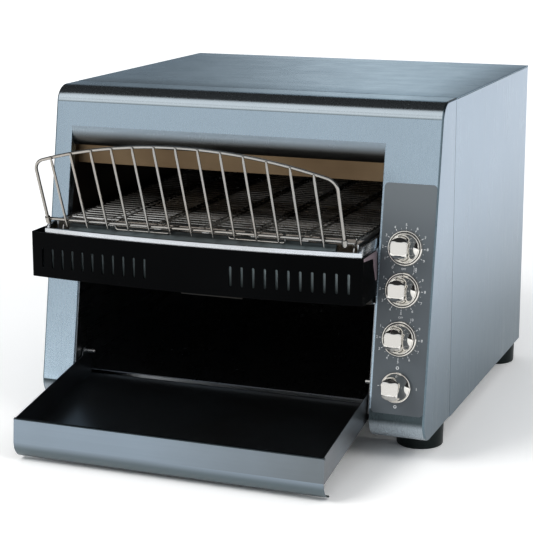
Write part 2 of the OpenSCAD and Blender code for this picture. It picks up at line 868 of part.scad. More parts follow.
// Pan in front of the belt's nose: bright bowed lip, floor, sloping shelf and side lips
module conveyor_pan() {
  shelf_l = belt_l + shelf_short;
  shelf_r = belt_r - shelf_short;
  side_back = face_y(pan_z) + pan_back;
  side_top = lip_top + side_lip_rise;
  front = guard_end_y + lip_gap + 0.6;
  lip_z = lip_top - sheet_t;
  seat_half = 4;
  color("gainsboro")
    placed() {
      bowed_wall(lip_depth, sheet_t, pan_l, pan_r, pan_z - pan_apron, lip_top);
      bowed_wall(lip_depth, lip_flange, pan_l, pan_r, lip_z, lip_top);
      intersection() {
        box([pan_l, -guard_reach, pan_z], [pan_r, shelf_back, pan_z + sheet_t]);
        behind_bow(lip_depth + sheet_t / 2, pan_z, pan_z + sheet_t);
      }
      along_x(shelf_l, shelf_r)
        polygon(sheet([
          [shelf_back, pan_z], [shelf_back, belt_top_z - 2.5], [shelf_back - 8, lip_top - 3.5]], sheet_t));
      for (x = [pan_l, pan_r - sheet_t])
        along_x(x, x + sheet_t)
          polygon([
            [front, pan_z], [front, lip_z], [front + side_lip_rise, side_top],
            [side_back, side_top], [side_back, pan_z]]);
      for (x = [pan_l, pan_r - lip_flange])
        along_x(x, x + lip_flange)
          polygon(sheet([[side_back, side_top], [front + side_lip_rise, side_top], [front, lip_top]], sheet_t));
      for (s = [-1, 1])
        translate([rack_mid + s * rack_w / 2, 0, 0])
          box([-seat_half, rack_y - hoop_r, lip_z], [seat_half, front + lip_flange, rack_foot_z - slide_gap]);
    }
}

// Conveyor

module conveyor_rail() {
  front = -belt_nose + 4;
  rear = drive_y - pitch_r;
  difference() {
    union() {
      box([rail_r, front, rail_z], [rail_r + wall_t, rear, rail_top]);
      box([belt_r - 2, idler_y + 6, rail_top - wall_t], [rail_r + wall_t, rear, rail_top]);
      box([rail_r, bracket_rear + 1, rail_z], [chamber_r, rear, rail_z + wall_t]);
    }
    x_rod(rail_r - cut, rail_r + 2 * wall_t, idler_y, shaft_z, bush_r);
    for (i = [0:lower_tubes - 1])
      x_rod(rail_r - cut, rail_r + 2 * wall_t, spread(low_front, low_rear, lower_tubes, i), tube_z, tube_r + 1);
  }
}

module conveyor_rail_right() {
  color("silver")
    placed()
      conveyor_rail();
}

module conveyor_rail_left() {
  color("silver")
    placed()
      mirror_mid()
        conveyor_rail();
}

// The given piece at every pitch of a loop round two equal wheels, links apart along +X
module round_loop(links, pitch, teeth, radius) {
  for (i = [0:links], s = [-1, 1])
    translate([i * pitch, s * radius])
      children();
  for (i = [1:teeth / 2 - 1]) {
    translate(radius * [-sin(i * 360 / teeth), cos(i * 360 / teeth)])
      children();
    translate([links * pitch, 0] + radius * [sin(i * 360 / teeth), cos(i * 360 / teeth)])
      children();
  }
}

module stadium(length, radius) {
  circle(r = radius, $fn = 72);
  translate([length, 0])
    circle(r = radius, $fn = 72);
  translate([0, -radius])
    square([length, 2 * radius]);
}

module loop_band(length, radius, half) {
  difference() {
    stadium(length, radius + half);
    stadium(length, radius - half);
  }
}

module wire_belt() {
  color("dimgray")
    placed()
      translate([0, idler_y, shaft_z]) {
        along_x(belt_l, belt_r)
          round_loop(belt_links, belt_pitch, belt_teeth, pitch_r)
            circle(r = rod_r, $fn = 24);
        for (x = [belt_l - band_w, belt_r])
          along_x(x, x + band_w)
            loop_band(belt_links * belt_pitch, pitch_r, band_r);
      }
}

// Toothed disc with its gaps opposite the rods or rollers of a loop
module toothed(radius, teeth, link_r, bore) {
  difference() {
    circle(r = radius - link_r - loop_gap, $fn = 72);
    for (i = [0:teeth - 1])
      translate(radius * [sin(i * 360 / teeth), cos(i * 360 / teeth)])
        circle(r = link_r + loop_gap + tooth_h, $fn = 24);
    circle(r = bore);
  }
}

module belt_sprockets(y, bore) {
  placed()
    for (i = [0:sprocket_count - 1]) {
      x = spread(belt_l, belt_r, sprocket_count, i);
      translate([0, y, shaft_z]) {
        along_x(x - 3, x + 3)
          toothed(pitch_r, belt_teeth, rod_r, bore);
        along_x(x - 8, x + 8)
          difference() {
            circle(r = bore + 5);
            circle(r = bore);
          }
      }
    }
}

module drive_sprockets() {
  color("gray")
    belt_sprockets(drive_y, drive_r);
}

module idler_sprockets() {
  color("gray")
    belt_sprockets(idler_y, idler_r);
}

module drive_shaft() {
  color("gainsboro")
    placed()
      x_rod(chamber_l - wall_t - 8, chain_x + 9, drive_y, shaft_z, drive_r);
}

module idler_shaft() {
  color("gainsboro")
    placed()
      x_rod(rail_l - wall_t - 3, rail_r + wall_t + 3, idler_y, shaft_z, idler_r);
}

// Flanged bush: sleeve through a wall of thickness t, flange on its far side
module bush(t, flange, sleeve, bore) {
  difference() {
    union() {
      x_rod(0, t, 0, 0, sleeve);
      x_rod(t, t + flange, 0, 0, sleeve + 4);
    }
    x_rod(-cut, t + flange + cut, 0, 0, bore);
  }
}

module drive_bearings() {
  color("goldenrod")
    placed() {
      translate([chamber_r, drive_y, shaft_z])
        bush(wall_t, 3, bearing_r, drive_r + running);
      mirror_mid()
        translate([chamber_r, drive_y, shaft_z])
          bush(wall_t, 3, bearing_r, drive_r + running);
    }
}

module idler_bushes() {
  color("goldenrod")
    placed() {
      translate([rail_r, idler_y, shaft_z])
        bush(wall_t, 2, bush_r, idler_r + running);
      mirror_mid()
        translate([rail_r, idler_y, shaft_z])
          bush(wall_t, 2, bush_r, idler_r + running);
    }
}

// Chain drive in the control compartment

module chain_wheel(z, bore, hub_end) {
  placed()
    translate([0, drive_y, z]) {
      along_x(chain_x - 1.8, chain_x + 1.8)
        toothed(chain_r, chain_teeth, roller_r, bore);
      along_x(chain_x, hub_end)
        difference() {
          circle(r = bore + 4);
          circle(r = bore);
        }
    }
}

module chain_sprocket() {
  color("dimgray")
    chain_wheel(shaft_z, drive_r, chain_x + 7);
}

module motor_sprocket() {
  color("dimgray")
    chain_wheel(motor_z, spindle_r + 1, plate_x - 1);
}

module drive_chain() {
  color("darkgray")
    placed()
      translate([0, drive_y, motor_z]) {
        along_x(chain_x - chain_in / 2, chain_x + chain_in / 2)
          rotate(90)
            round_loop(chain_links, chain_pitch, chain_teeth, chain_r)
              circle(r = roller_r, $fn = 24);
        for (x = [chain_x - chain_in / 2 - chain_plate_t, chain_x + chain_in / 2])
          along_x(x, x + chain_plate_t)
            rotate(90)
              loop_band(chain_links * chain_pitch, chain_r, chain_half);
      }
}

// Block on the inner wall, with a shoe that bears on the chain's rear run
module chain_guide() {
  plate_l = chain_x - chain_in / 2 - chain_plate_t;
  plate_r = chain_x + chain_in / 2 + chain_plate_t;
  run_y = drive_y + chain_r;
  z = (shaft_z + motor_z) / 2;
  color("ivory")
    placed() {
      box([chamber_r + wall_t, run_y - chain_half, z - guide_h / 2],
          [plate_l, run_y + chain_half + guide_t, z + guide_h / 2]);
      box([plate_l, run_y + chain_half, z - guide_h / 2],
          [plate_r, run_y + chain_half + guide_t, z + guide_h / 2]);
    }
}

module gearmotor() {
  x0 = plate_x + wall_t;
  color("dimgray")
    placed() {
      box([x0, drive_y - gearbox_w / 2, motor_z - gearbox_w / 2],
          [x0 + gearbox_t, drive_y + gearbox_w / 2, motor_z + gearbox_w / 2]);
      y_rod(drive_y - gearbox_w / 2 - motor_l, drive_y - gearbox_w / 2, x0 + motor_r + 1, motor_z, motor_r);
      x_rod(chain_x - 3, x0, drive_y, motor_z, spindle_r + 1 - running);
    }
}

module motor_bracket() {
  half = gearbox_w / 2 + 5;
  color("silver")
    placed()
      difference() {
        union() {
          box([plate_x, drive_y - half, motor_z - half], [plate_x + wall_t, drive_y + half, motor_z + half]);
          for (y = [-1, 1], z = [-1, 1])
            x_rod(chamber_r + wall_t, plate_x, drive_y + y * (half - 6), motor_z + z * (half - 6), 4);
        }
        x_rod(plate_x - cut, plate_x + 2 * wall_t, drive_y, motor_z, 10);
      }
}

// Feed rack, drawn flat in its own plane and then tilted forward about its cross wire

module feed_rack() {
  half = rack_w / 2;
  elbow_x = half - rack_corner_r;
  arc_c = rack_h - rack_arc_r;
  inner_r = rack_arc_r - rack_corner_r;
  elbow_v = arc_c + sqrt(inner_r * inner_r - elbow_x * elbow_x);
  sweep = asin(elbow_x / inner_r);
  lap = 3;
  weld_r = hoop_r + 1.8;
  loop_half = 1.3 * rack_pitch;
  upright_off = 0.8 * (hoop_r + upright_r);
  color("gainsboro")
    placed()
      translate([rack_mid, rack_y, rack_z])
        rotate([90 + rack_tilt, 0, 0]) {
          x_rod(-half, half, 0, 0, hoop_r - 0.2);
          for (s = [-1, 1]) {
            translate([s * half, -rack_stub, 0])
              rotate([-90, 0, 0])
                cylinder(r = hoop_r, h = elbow_v + rack_stub);
            translate([s * half, -weld_r / 2, 0])
              rotate([-90, 0, 0])
                cylinder(r = weld_r, h = 1.5 * weld_r);
            translate([s * elbow_x, elbow_v, 0])
              rotate(s > 0 ? -lap : 90 + sweep - lap)
                rotate_extrude(angle = 90 - sweep + 2 * lap)
                  translate([rack_corner_r, 0])
                    circle(r = hoop_r - 0.1, $fn = 24);
          }
          translate([0, arc_c, 0])
            rotate(90 - sweep)
              rotate_extrude(angle = 2 * sweep, $fn = 200)
                translate([rack_arc_r, 0])
                  circle(r = hoop_r, $fn = 24);
          for (i = [0:rack_wires - 1]) {
            x = (i - (rack_wires - 1) / 2) * rack_pitch;
            top = arc_c + sqrt(rack_arc_r * rack_arc_r - x * x);
            translate([x, -7, upright_off])
              rotate([-90, 0, 0])
                cylinder(r = upright_r, h = top + 7 + hoop_r);
          }
          for (x = [-2.45, 2.9] * rack_pitch) {
            x_rod(x - loop_half - 2, x + loop_half + 2, -rack_loop_drop, 0, upright_r);
            for (s = [-1, 1])
              translate([x + s * loop_half, -rack_loop_drop - 2, -upright_off])
                rotate([-90, 0, 0])
                  cylinder(r = upright_r, h = rack_loop_drop + 4);
          }
        }
}

// Controls

module control_label() {
  color("dimgray")
    placed()
      difference() {
        on_face(label_x, label_z)
          linear_extrude(label_t)
            polygon(rounded(label_w, label_h, 5));
        for (i = [0:3])
          on_face(knob_x, knob_z(i))
            cylinder(r = bushing_r + 0.4, h = 4, center = true);
      }
}

module knob_bezels() {
  inner = knob_r + 0.7;
  color("gainsboro")
    placed()
      for (i = [0:2])
        on_face(knob_x, knob_z(i))
          translate([0, 0, label_t])
            difference() {
              cylinder(r1 = inner + bezel_w, r2 = inner + bezel_w / 2, h = 3);
              translate([0, 0, -cut])
                cylinder(r = inner, h = 3 + 2 * cut);
            }
}

// Knob number i: skirt, body narrowing to a flat-topped grip bar with sloping ends, and spindle
module knob(i) {
  skirt_z = label_t + 0.6;
  body_r = knob_r - 1.8;
  top = label_t + knob_h;
  color("gainsboro")
    placed()
      on_face(knob_x, knob_z(i)) {
        translate([0, 0, skirt_z])
          cylinder(r = knob_r, h = 3.6);
        translate([0, 0, skirt_z])
          cylinder(r1 = body_r, r2 = grip_w / 2 + 1, h = knob_h / 2);
        intersection() {
          translate([0, 0, skirt_z])
            cylinder(r1 = body_r, r2 = grip_l / 2, h = knob_h);
          along_x(-grip_w / 2, grip_w / 2)
            polygon([
              [-knob_r, skirt_z], [-knob_r, skirt_z + 1], [-grip_l / 2, top - grip_drop], [-grip_flat / 2, top],
              [grip_flat / 2, top], [grip_l / 2, top - grip_drop], [knob_r, skirt_z + 1], [knob_r, skirt_z]]);
        }
        translate([0, 0, -switch_d + 6])
          cylinder(r = spindle_r, h = switch_d);
      }
}

module speed_knob() {
  knob(0);
}

module top_heat_knob() {
  knob(1);
}

module bottom_heat_knob() {
  knob(2);
}

module power_knob() {
  knob(3);
}

module control_body(i, round_body) {
  color("dimgray")
    placed()
      on_face(knob_x, knob_z(i))
        difference() {
          union() {
            translate([0, 0, -sheet_t])
              mirror([0, 0, 1])
                if (round_body)
                  cylinder(r = switch_w / 2, h = switch_d - sheet_t);
                else
                  linear_extrude(switch_d - sheet_t)
                    square(switch_w, center = true);
            translate([0, 0, -sheet_t - cut])
              cylinder(r = bushing_r, h = sheet_t + cut);
          }
          translate([0, 0, -switch_d + 4])
            cylinder(r = spindle_r + running, h = switch_d + 4);
        }
}

module speed_control() {
  control_body(0, true);
}

module top_heat_switch() {
  control_body(1, false);
}

module bottom_heat_switch() {
  control_body(2, false);
}

module power_switch() {
  control_body(3, false);
}

// Rear pieces

module fan_frame() {
  y0 = back_y - fan_d;
  half = fan_w / 2;
  color("dimgray")
    placed() {
      difference() {
        box([fan_x - half, y0, fan_z - half], [fan_x + half, back_y, fan_z + half]);
        y_rod(y0 - cut, back_y + cut, fan_x, fan_z, fan_bore);
      }
      y_rod(y0, y0 + 4, fan_x, fan_z, fan_hub);
      y_rod(y0 + 4, y0 + fan_d / 2, fan_x, fan_z, fan_pin_r);
      for (a = [45:90:315])
        translate([fan_x, y0, fan_z])
          rotate([0, a, 0])
            box([fan_hub - 2, 0, -2.5], [fan_bore + 1, 3, 2.5]);
    }
}

module fan_rotor() {
  y0 = back_y - fan_d + 5;
  depth = fan_d - 9;
  color("black")
    placed()
      translate([fan_x, y0, fan_z])
        rotate([-90, 0, 0]) {
          difference() {
            cylinder(r = fan_hub, h = depth);
            translate([0, 0, -cut])
              cylinder(r = fan_pin_r + running, h = fan_d / 2);
          }
          for (i = [0:fan_blades - 1])
            rotate(i * 360 / fan_blades)
              translate([fan_hub - 2, 0, depth / 2])
                rotate([50, 0, 0])
                  translate([0, -1, -depth * 0.55])
                    cube([fan_bore - fan_hub - 1, 2, depth * 1.1]);
        }
}

module fan_guard() {
  color("silver")
    placed() {
      for (r = [fan_bore - 2:-12:16])
        translate([fan_x, back_y + sheet_t + 2, fan_z])
          rotate([-90, 0, 0])
            rotate_extrude()
              translate([r, 0])
                circle(r = 1.2, $fn = 16);
      for (a = [0, 90])
        translate([fan_x, back_y + sheet_t + 2, fan_z])
          rotate([0, a + 45, 0])
            box([-fan_bore - 8, -2, -2], [fan_bore + 8, 0, 2]);
    }
}

module terminal_block() {
  x0 = side_x - 54;
  y0 = body_d - foot_rear - 60;
  z0 = foot_h + 2 * sheet_t;
  color("ivory")
    placed()
      difference() {
        box([x0, y0, z0], [x0 + 36, y0 + 48, z0 + 16]);
        for (i = [0:3])
          box([x0 + 4, y0 + 4 + i * 11, z0 + 6], [x0 + 32, y0 + 11 + i * 11, z0 + 16 + cut]);
      }
}

module cord_gland() {
  color("black")
    placed()
      difference() {
        union() {
          y_rod(back_y - 10, back_y + sheet_t, gland_x, gland_z, cord_r + 3);
          y_rod(back_y + sheet_t, body_d + gland_out - 5, gland_x, gland_z, cord_r + 6);
          y_rod(body_d, body_d + gland_out, gland_x, gland_z, cord_r + 3);
          y_rod(back_y - 5, back_y, gland_x, gland_z, cord_r + 6);
        }
        y_rod(back_y - 12, body_d + gland_out + cut, gland_x, gland_z, cord_r);
      }
}

// Feet and fixings

module at_feet() {
  for (s = [-1, 1], y = [-foot_front, body_d - foot_rear])
    translate([s * (side_x - foot_in), y, 0])
      children();
}

module feet() {
  color("black")
    placed()
      at_feet()
        difference() {
          union() {
            cylinder(r1 = foot_r - 3, r2 = foot_r - 1, h = 4);
            translate([0, 0, 4])
              cylinder(r1 = foot_r - 1, r2 = foot_r, h = foot_h - 4);
          }
          translate([0, 0, -cut])
            cylinder(r = foot_bolt_r, h = foot_h + 2 * cut);
          translate([0, 0, -cut])
            cylinder(r = 2 * foot_bolt_r, h = 9 + cut);
        }
}

module foot_bolts() {
  color("silver")
    placed()
      at_feet() {
        translate([0, 0, 4])
          cylinder(r = foot_bolt_r + 2.4, h = 5);
        translate([0, 0, 9])
          cylinder(r = foot_bolt_r, h = foot_h - 9 + 2 * sheet_t + 8);
        translate([0, 0, foot_h + 2 * sheet_t])
          cylinder(r = foot_bolt_r + 2.4, h = 5, $fn = 6);
      }
}

module at_screws() {
  x = side_x - flange_w / 2;
  for (s = [-1, 1]) {
    for (z = [foot_h + 24, foot_h + body_h / 2, body_top - 34])
      translate([s * x, 0, z])
        children();
    translate([s * x / 2, 0, body_top - flange_w / 2])
      children();
  }
}

module screw_hole() {
  y_rod(body_d - 4 * sheet_t, body_d + cut, 0, 0, screw_r + 0.1);
}

module panel_screws() {
  head_h = 2.2;
  slot_d = 1;
  color("silver")
    placed()
      at_screws() {
        y_rod(body_d - 3 * sheet_t, body_d, 0, 0, screw_r);
        difference() {
          y_rod(body_d, body_d + head_h, 0, 0, 2.2 * screw_r);
          box([-1.5 * screw_r, body_d + head_h - slot_d, -0.5], [1.5 * screw_r, body_d + head_h + cut, 0.5]);
        }
      }
}

front_fascia();
top_cover();
side_panel_left();
side_panel_right();
back_panel();
base_pan();
inner_wall_left();
inner_wall_right();
entry_baffle();
upper_reflector();
lower_reflector();
heater_grid();
upper_heaters();
lower_heaters();
heater_caps();
toast_chute();
rear_deflector();
product_tray();
tray_pins();
crumb_tray();
heat_guard();
guard_bracket_left();
guard_bracket_right();
conveyor_pan();
conveyor_rail_left();
conveyor_rail_right();
wire_belt();
drive_shaft();
drive_sprockets();
drive_bearings();
idler_shaft();
idler_sprockets();
idler_bushes();
chain_sprocket();
drive_chain();
chain_guide();
motor_sprocket();
gearmotor();
motor_bracket();
feed_rack();
control_label();
knob_bezels();
speed_knob();
top_heat_knob();
bottom_heat_knob();
power_knob();
speed_control();
top_heat_switch();
bottom_heat_switch();
power_switch();
fan_frame();
fan_rotor();
fan_guard();
terminal_block();
cord_gland();
feet();
foot_bolts();
panel_screws();
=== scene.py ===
import bpy
import bmesh
import math
import numpy as np
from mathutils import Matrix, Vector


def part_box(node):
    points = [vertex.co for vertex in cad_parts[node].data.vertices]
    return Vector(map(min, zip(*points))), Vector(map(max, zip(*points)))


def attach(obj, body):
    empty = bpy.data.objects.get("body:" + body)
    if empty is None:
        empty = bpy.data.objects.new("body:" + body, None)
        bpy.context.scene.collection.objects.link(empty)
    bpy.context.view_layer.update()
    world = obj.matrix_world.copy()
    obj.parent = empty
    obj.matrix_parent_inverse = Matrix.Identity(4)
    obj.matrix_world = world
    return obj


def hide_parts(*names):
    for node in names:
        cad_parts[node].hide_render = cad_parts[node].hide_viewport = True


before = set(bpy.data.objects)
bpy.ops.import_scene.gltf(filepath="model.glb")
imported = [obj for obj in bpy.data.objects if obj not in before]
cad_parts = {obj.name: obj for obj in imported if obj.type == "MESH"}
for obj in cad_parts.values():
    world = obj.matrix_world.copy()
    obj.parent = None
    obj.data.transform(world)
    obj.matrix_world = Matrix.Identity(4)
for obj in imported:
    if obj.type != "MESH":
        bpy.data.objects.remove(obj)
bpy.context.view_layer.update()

# ------------ table, light and camera
# A pale table top reaches past the view on every side and keeps the toaster's soft shadow.
# The sky is plain white; steel mirrors it darker overhead, with a soft glow low at the back.

scene = bpy.context.scene
scene.view_settings.view_transform = "Standard"


def feed(tree, made, feeds):
    """Sets a shader node's inputs to plain values, or links them to the sockets that drive them."""
    for key, value in feeds.items():
        if isinstance(value, bpy.types.NodeSocket):
            tree.links.new(value, made.inputs[key])
        else:
            made.inputs[key].default_value = value
    return made


def node(tree, kind, feeds=None, **settings):
    """One shader or group node of the given kind, with its settings and inputs."""
    made = tree.nodes.new(kind if kind.startswith("Node") else "ShaderNode" + kind)
    made.location = (0, -160 * len(tree.nodes))
    for name, value in settings.items():
        setattr(made, name, value)
    return feed(tree, made, feeds or {})


def calc(tree, kind, *values, **settings):
    """Result of one arithmetic node on sockets or plain numbers."""
    return node(tree, "Math", dict(enumerate(values)), operation=kind, **settings).outputs[0]


def ramp(tree, value, low, high, first=0.0, last=1.0, kind="SMOOTHSTEP"):
    """Carries a value from the range low-high to the range first-last."""
    ends = {"Value": value, "From Min": low, "From Max": high, "To Min": first, "To Max": last}
    return node(tree, "MapRange", ends, interpolation_type=kind).outputs[0]


def split_up(tree, kind):
    """X, Y and Z of a texture coordinate."""
    where = node(tree, "TexCoord").outputs[kind]
    return node(tree, "SeparateXYZ", {0: where}).outputs


def two_views(tree, kind, scattered, direct):
    """Ends the tree: one shader for scattered light and one for camera, mirror and glass rays."""
    path = node(tree, "LightPath").outputs
    seen = calc(tree, "MAXIMUM", path["Is Camera Ray"], path["Is Glossy Ray"])
    seen = calc(tree, "MAXIMUM", seen, path["Is Transmission Ray"])
    mix = node(tree, "MixShader", {0: seen, 1: scattered.outputs[0], 2: direct.outputs[0]})
    node(tree, kind, {"Surface": mix.outputs[0]})


def added(name, data):
    """A new object in the scene."""
    made = bpy.data.objects.new(name, data)
    scene.collection.objects.link(made)
    return made


SKY_STOPS = ((0.17, 0.94), (0.184, 0.45), (0.20, 1.0), (0.33, 0.9), (0.38, 0.03), (0.82, 0.02), (0.90, 0.30))
GLOW_BEARING, GLOW_WIDTH, GLOW_SHADE = 0.305, 0.09, (0.92, 1.0, 1.05, 1)


def studio_sky():
    """Sky shade for mirror rays, by the angle over from the front: atan2(z, -y) / pi, 0 front, 1 back.

    White in front and up to a dark overhead, and low at the back a blue-white glow exp(-(off / 0.09)^2)
    round the bearing 0.305 rad left of straight back. Low on the left and right it is dark as well:
    the shade falls to 0.12 as |x| - 1.5 z goes from 0.62 to 0.82.
    """
    scene.world = bpy.data.worlds.new("studio_sky")
    scene.world.use_nodes = True
    tree = scene.world.node_tree
    tree.nodes.clear()
    way = split_up(tree, "Generated")
    over = calc(tree, "ARCTAN2", way["Z"], calc(tree, "MULTIPLY", way["Y"], -1.0))
    over = calc(tree, "DIVIDE", over, math.pi)
    band = node(tree, "ValToRGB", {"Fac": over})
    stops = band.color_ramp.elements
    stops[0].position, stops[0].color = 0.0, (1, 1, 1, 1)
    stops[1].position, stops[1].color = 1.0, (0.25, 0.34, 0.42, 1)
    for place, shade in SKY_STOPS:
        stops.new(place).color = (shade, shade * 1.02, shade * 1.05, 1)
    off = calc(tree, "ADD", calc(tree, "ARCTAN2", way["X"], way["Y"]), GLOW_BEARING)
    off = calc(tree, "DIVIDE", off, GLOW_WIDTH)
    glow = calc(tree, "EXPONENT", calc(tree, "MULTIPLY", calc(tree, "POWER", off, 2.0), -1.0))
    glow = calc(tree, "MULTIPLY", glow, ramp(tree, over, 0.76, 0.90))
    sky = node(tree, "MixRGB", {"Fac": glow, "Color1": band.outputs["Color"], "Color2": GLOW_SHADE})
    lift = calc(tree, "MAXIMUM", calc(tree, "MULTIPLY", way["Z"], 1.5), 0.0)
    flag = calc(tree, "SUBTRACT", calc(tree, "ABSOLUTE", way["X"]), lift)
    flag = ramp(tree, flag, 0.62, 0.82, 1.0, 0.12)
    sky = node(tree, "VectorMath", {0: sky.outputs["Color"], "Scale": flag}, operation="SCALE")
    mirror = node(tree, "LightPath").outputs["Is Glossy Ray"]
    sky = node(tree, "MixRGB", {"Fac": mirror, "Color1": (1, 1, 1, 1), "Color2": sky.outputs[0]})
    light = node(tree, "Background", {"Color": (0.96, 0.98, 1.0, 1), "Strength": 0.62})
    shown = node(tree, "Background", {"Color": sky.outputs["Color"]})
    two_views(tree, "OutputWorld", light, shown)


studio_sky()


def table_top():
    """A flat sheet, 60 m across, at Z = 0. Its shade grows from 1.2 to 1.8 between 0.7 m and 3.5 m
    from the middle, so that its lit part reads white."""
    mesh = bpy.data.meshes.new("table_top")
    half = 30.0
    mesh.from_pydata([(-half, -half, 0), (half, -half, 0), (half, half, 0), (-half, half, 0)], [], [(0, 1, 2, 3)])
    paint = bpy.data.materials.new("table_white")
    paint.use_nodes = True
    tree = paint.node_tree
    tree.nodes.clear()
    plain = node(tree, "BsdfDiffuse", {"Color": (0.78, 0.80, 0.82, 1)})
    where = node(tree, "TexCoord").outputs["Object"]
    far = node(tree, "VectorMath", {0: where}, operation="LENGTH").outputs["Value"]
    white = node(tree, "BsdfDiffuse", {"Color": ramp(tree, far, 0.7, 3.5, 1.2, 1.8, "LINEAR")})
    two_views(tree, "OutputMaterial", plain, white)
    mesh.materials.append(paint)
    top = added("table_top", mesh)


table_top()


def soft_lamp(name, place, aim, size, watts):
    """A square area lamp that points at aim and isn't mirrored by the steel."""
    lamp = bpy.data.lights.new(name, "AREA")
    lamp.shape, lamp.size, lamp.energy = "SQUARE", size, watts
    lamp.color = (1.0, 0.99, 0.97)
    made = added(name, lamp)
    made.location = place
    made.visible_glossy = False
    away = np.array(place) - np.array(aim)
    pitch = math.atan2(math.hypot(away[0], away[1]), away[2])
    made.rotation_euler = (pitch, 0, math.atan2(away[1], away[0]) + math.pi / 2)


soft_lamp("lamp_left", (-1.9, -2.2, 2.6), (0, 0, 0.2), 1.8, 62)
soft_lamp("lamp_right", (2.6, -1.2, 2.2), (0, 0, 0.2), 1.6, 26)

SENSOR, FOCAL_PIXELS, FRAME_PIXELS = 36, 1611.4, 533
CAMERA_DOWN, CAMERA_TURN = 0.2129, 0.3658
lens = bpy.data.cameras.new("camera")
lens.sensor_width = SENSOR
lens.lens = SENSOR * FOCAL_PIXELS / FRAME_PIXELS
lens.shift_x, lens.shift_y = -0.02, -0.05
lens.clip_end = 100
camera = added("camera", lens)
camera.location = (0.7199, -1.8831, 0.6496)
camera.rotation_euler = (math.pi / 2 - CAMERA_DOWN, 0, CAMERA_TURN)
scene.camera = camera

# ------------ cabinet skin
# The fascia is one sheet of 1.2 mm stainless steel, rolled over at the top and at each column's
# foot, with a hood rolled inwards over the entry. The cover, sides and back are flat panels.
# Its brushed grain runs up the face; sizes here are in millimetres, with y = 0 at the fascia seam.

SEAM_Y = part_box("front_fascia")[1][1] * 1000
HALF_W, TOP_Z, FOOT_Z, DEPTH = 247.5, 415.0, 26.0, 385.5
LEAN_A = math.radians(9.6)
LEAN = math.tan(LEAN_A)
BROW = np.array([-53.6, TOP_Z])
TOE = np.array([-(53.6 + LEAN * (TOP_Z - FOOT_Z)), FOOT_Z])
OPEN_L, OPEN_R, CHAMBER_L, HOOD_Z, STEP_Z = -205.0, 180.0, -224.0, 367.0, 207.3
SHEET = 1.2
# ROOF_BEND_Z, FOOT_BEND_Z and LEFT_BEND_Z also bound the facets that take the rolls' painted highlight and painted
# shade.
ROOF_BEND_Z, FOOT_BEND_Z, LEFT_BEND_Z, EDGE_Z = 396.0, 64.0, 54.0, 60.0


def face_y(z):
    """The leaning front face: y = -(53.6 + tan(lean) * (top - z))."""
    return -(53.6 + LEAN * (TOP_Z - z))


def brushed_group():
    """Rolled and brushed sheet: long noise streaks, broad cloudy tone, faint smears in the gloss.

    Colour = tint * (1 + streak * (fine noise - 0.5) + cloud * (broad noise - 0.5)); the streaks
    also move the roughness and feed a small bump. Stretch squeezes the pattern on each axis.
    """
    group = bpy.data.node_groups.new("brushed_sheet", "ShaderNodeTree")
    kinds = {"Tint": "Color", "Stretch": "Vector", "Stain And Shade": "Color"}
    for name in ("Tint", "Stretch", "Streak", "Cloud", "Rough", "Smear", "Grain Depth", "Stain And Shade", "Stain Amount",
                 "Painted Light"):
        group.interface.new_socket(name, in_out="INPUT", socket_type="NodeSocket" + kinds.get(name, "Float"))
    for name, kind in (("Color", "Color"), ("Roughness", "Float"), ("Normal", "Vector")):
        group.interface.new_socket(name, in_out="OUTPUT", socket_type="NodeSocket" + kind)
    given = node(group, "NodeGroupInput").outputs
    where = node(group, "TexCoord").outputs["Object"]
    drawn = node(group, "VectorMath", {0: where, 1: given["Stretch"]}, operation="MULTIPLY")

    def noise(at, scale, detail, rough):
        feeds = {"Vector": at, "Scale": scale, "Detail": detail, "Roughness": rough}
        return node(group, "TexNoise", feeds).outputs["Fac"]

    def centred(source, amount):
        """(value - 0.5) * amount"""
        return calc(group, "MULTIPLY", calc(group, "SUBTRACT", source, 0.5), amount)

    fine = noise(drawn.outputs[0], 1.0, 3.0, 0.65)
    broad, wipe = noise(where, 7.0, 4.0, 0.5), noise(where, 26.0, 5.0, 0.7)
    streak = centred(fine, given["Streak"])
    tone = calc(group, "ADD", calc(group, "ADD", streak, centred(broad, given["Cloud"])), 1.0)
    shaded = node(group, "VectorMath", {0: given["Tint"], "Scale": tone}, operation="SCALE")
    # Stain And Shade colour: broad-noise patches (stains) times Stain Amount, plus the Painted Light input, which
    # carries painted shade and painted light.
    amount = calc(group, "MULTIPLY_ADD", ramp(group, broad, 0.42, 0.68, kind="LINEAR"), given["Stain Amount"],
                  given["Painted Light"], use_clamp=True)
    stained_and_shaded = node(group, "MixRGB", {"Fac": amount, "Color1": shaded.outputs[0], "Color2": given["Stain And Shade"]})
    gloss = calc(group, "ADD", calc(group, "ADD", centred(wipe, given["Smear"]), streak), given["Rough"])
    bump = node(group, "Bump", {"Distance": 0.0002, "Strength": given["Grain Depth"], "Height": fine})
    node(group, "NodeGroupOutput",
         {"Color": stained_and_shaded.outputs["Color"], "Roughness": gloss, "Normal": bump.outputs["Normal"]})
    return group


BRUSHED = brushed_group()


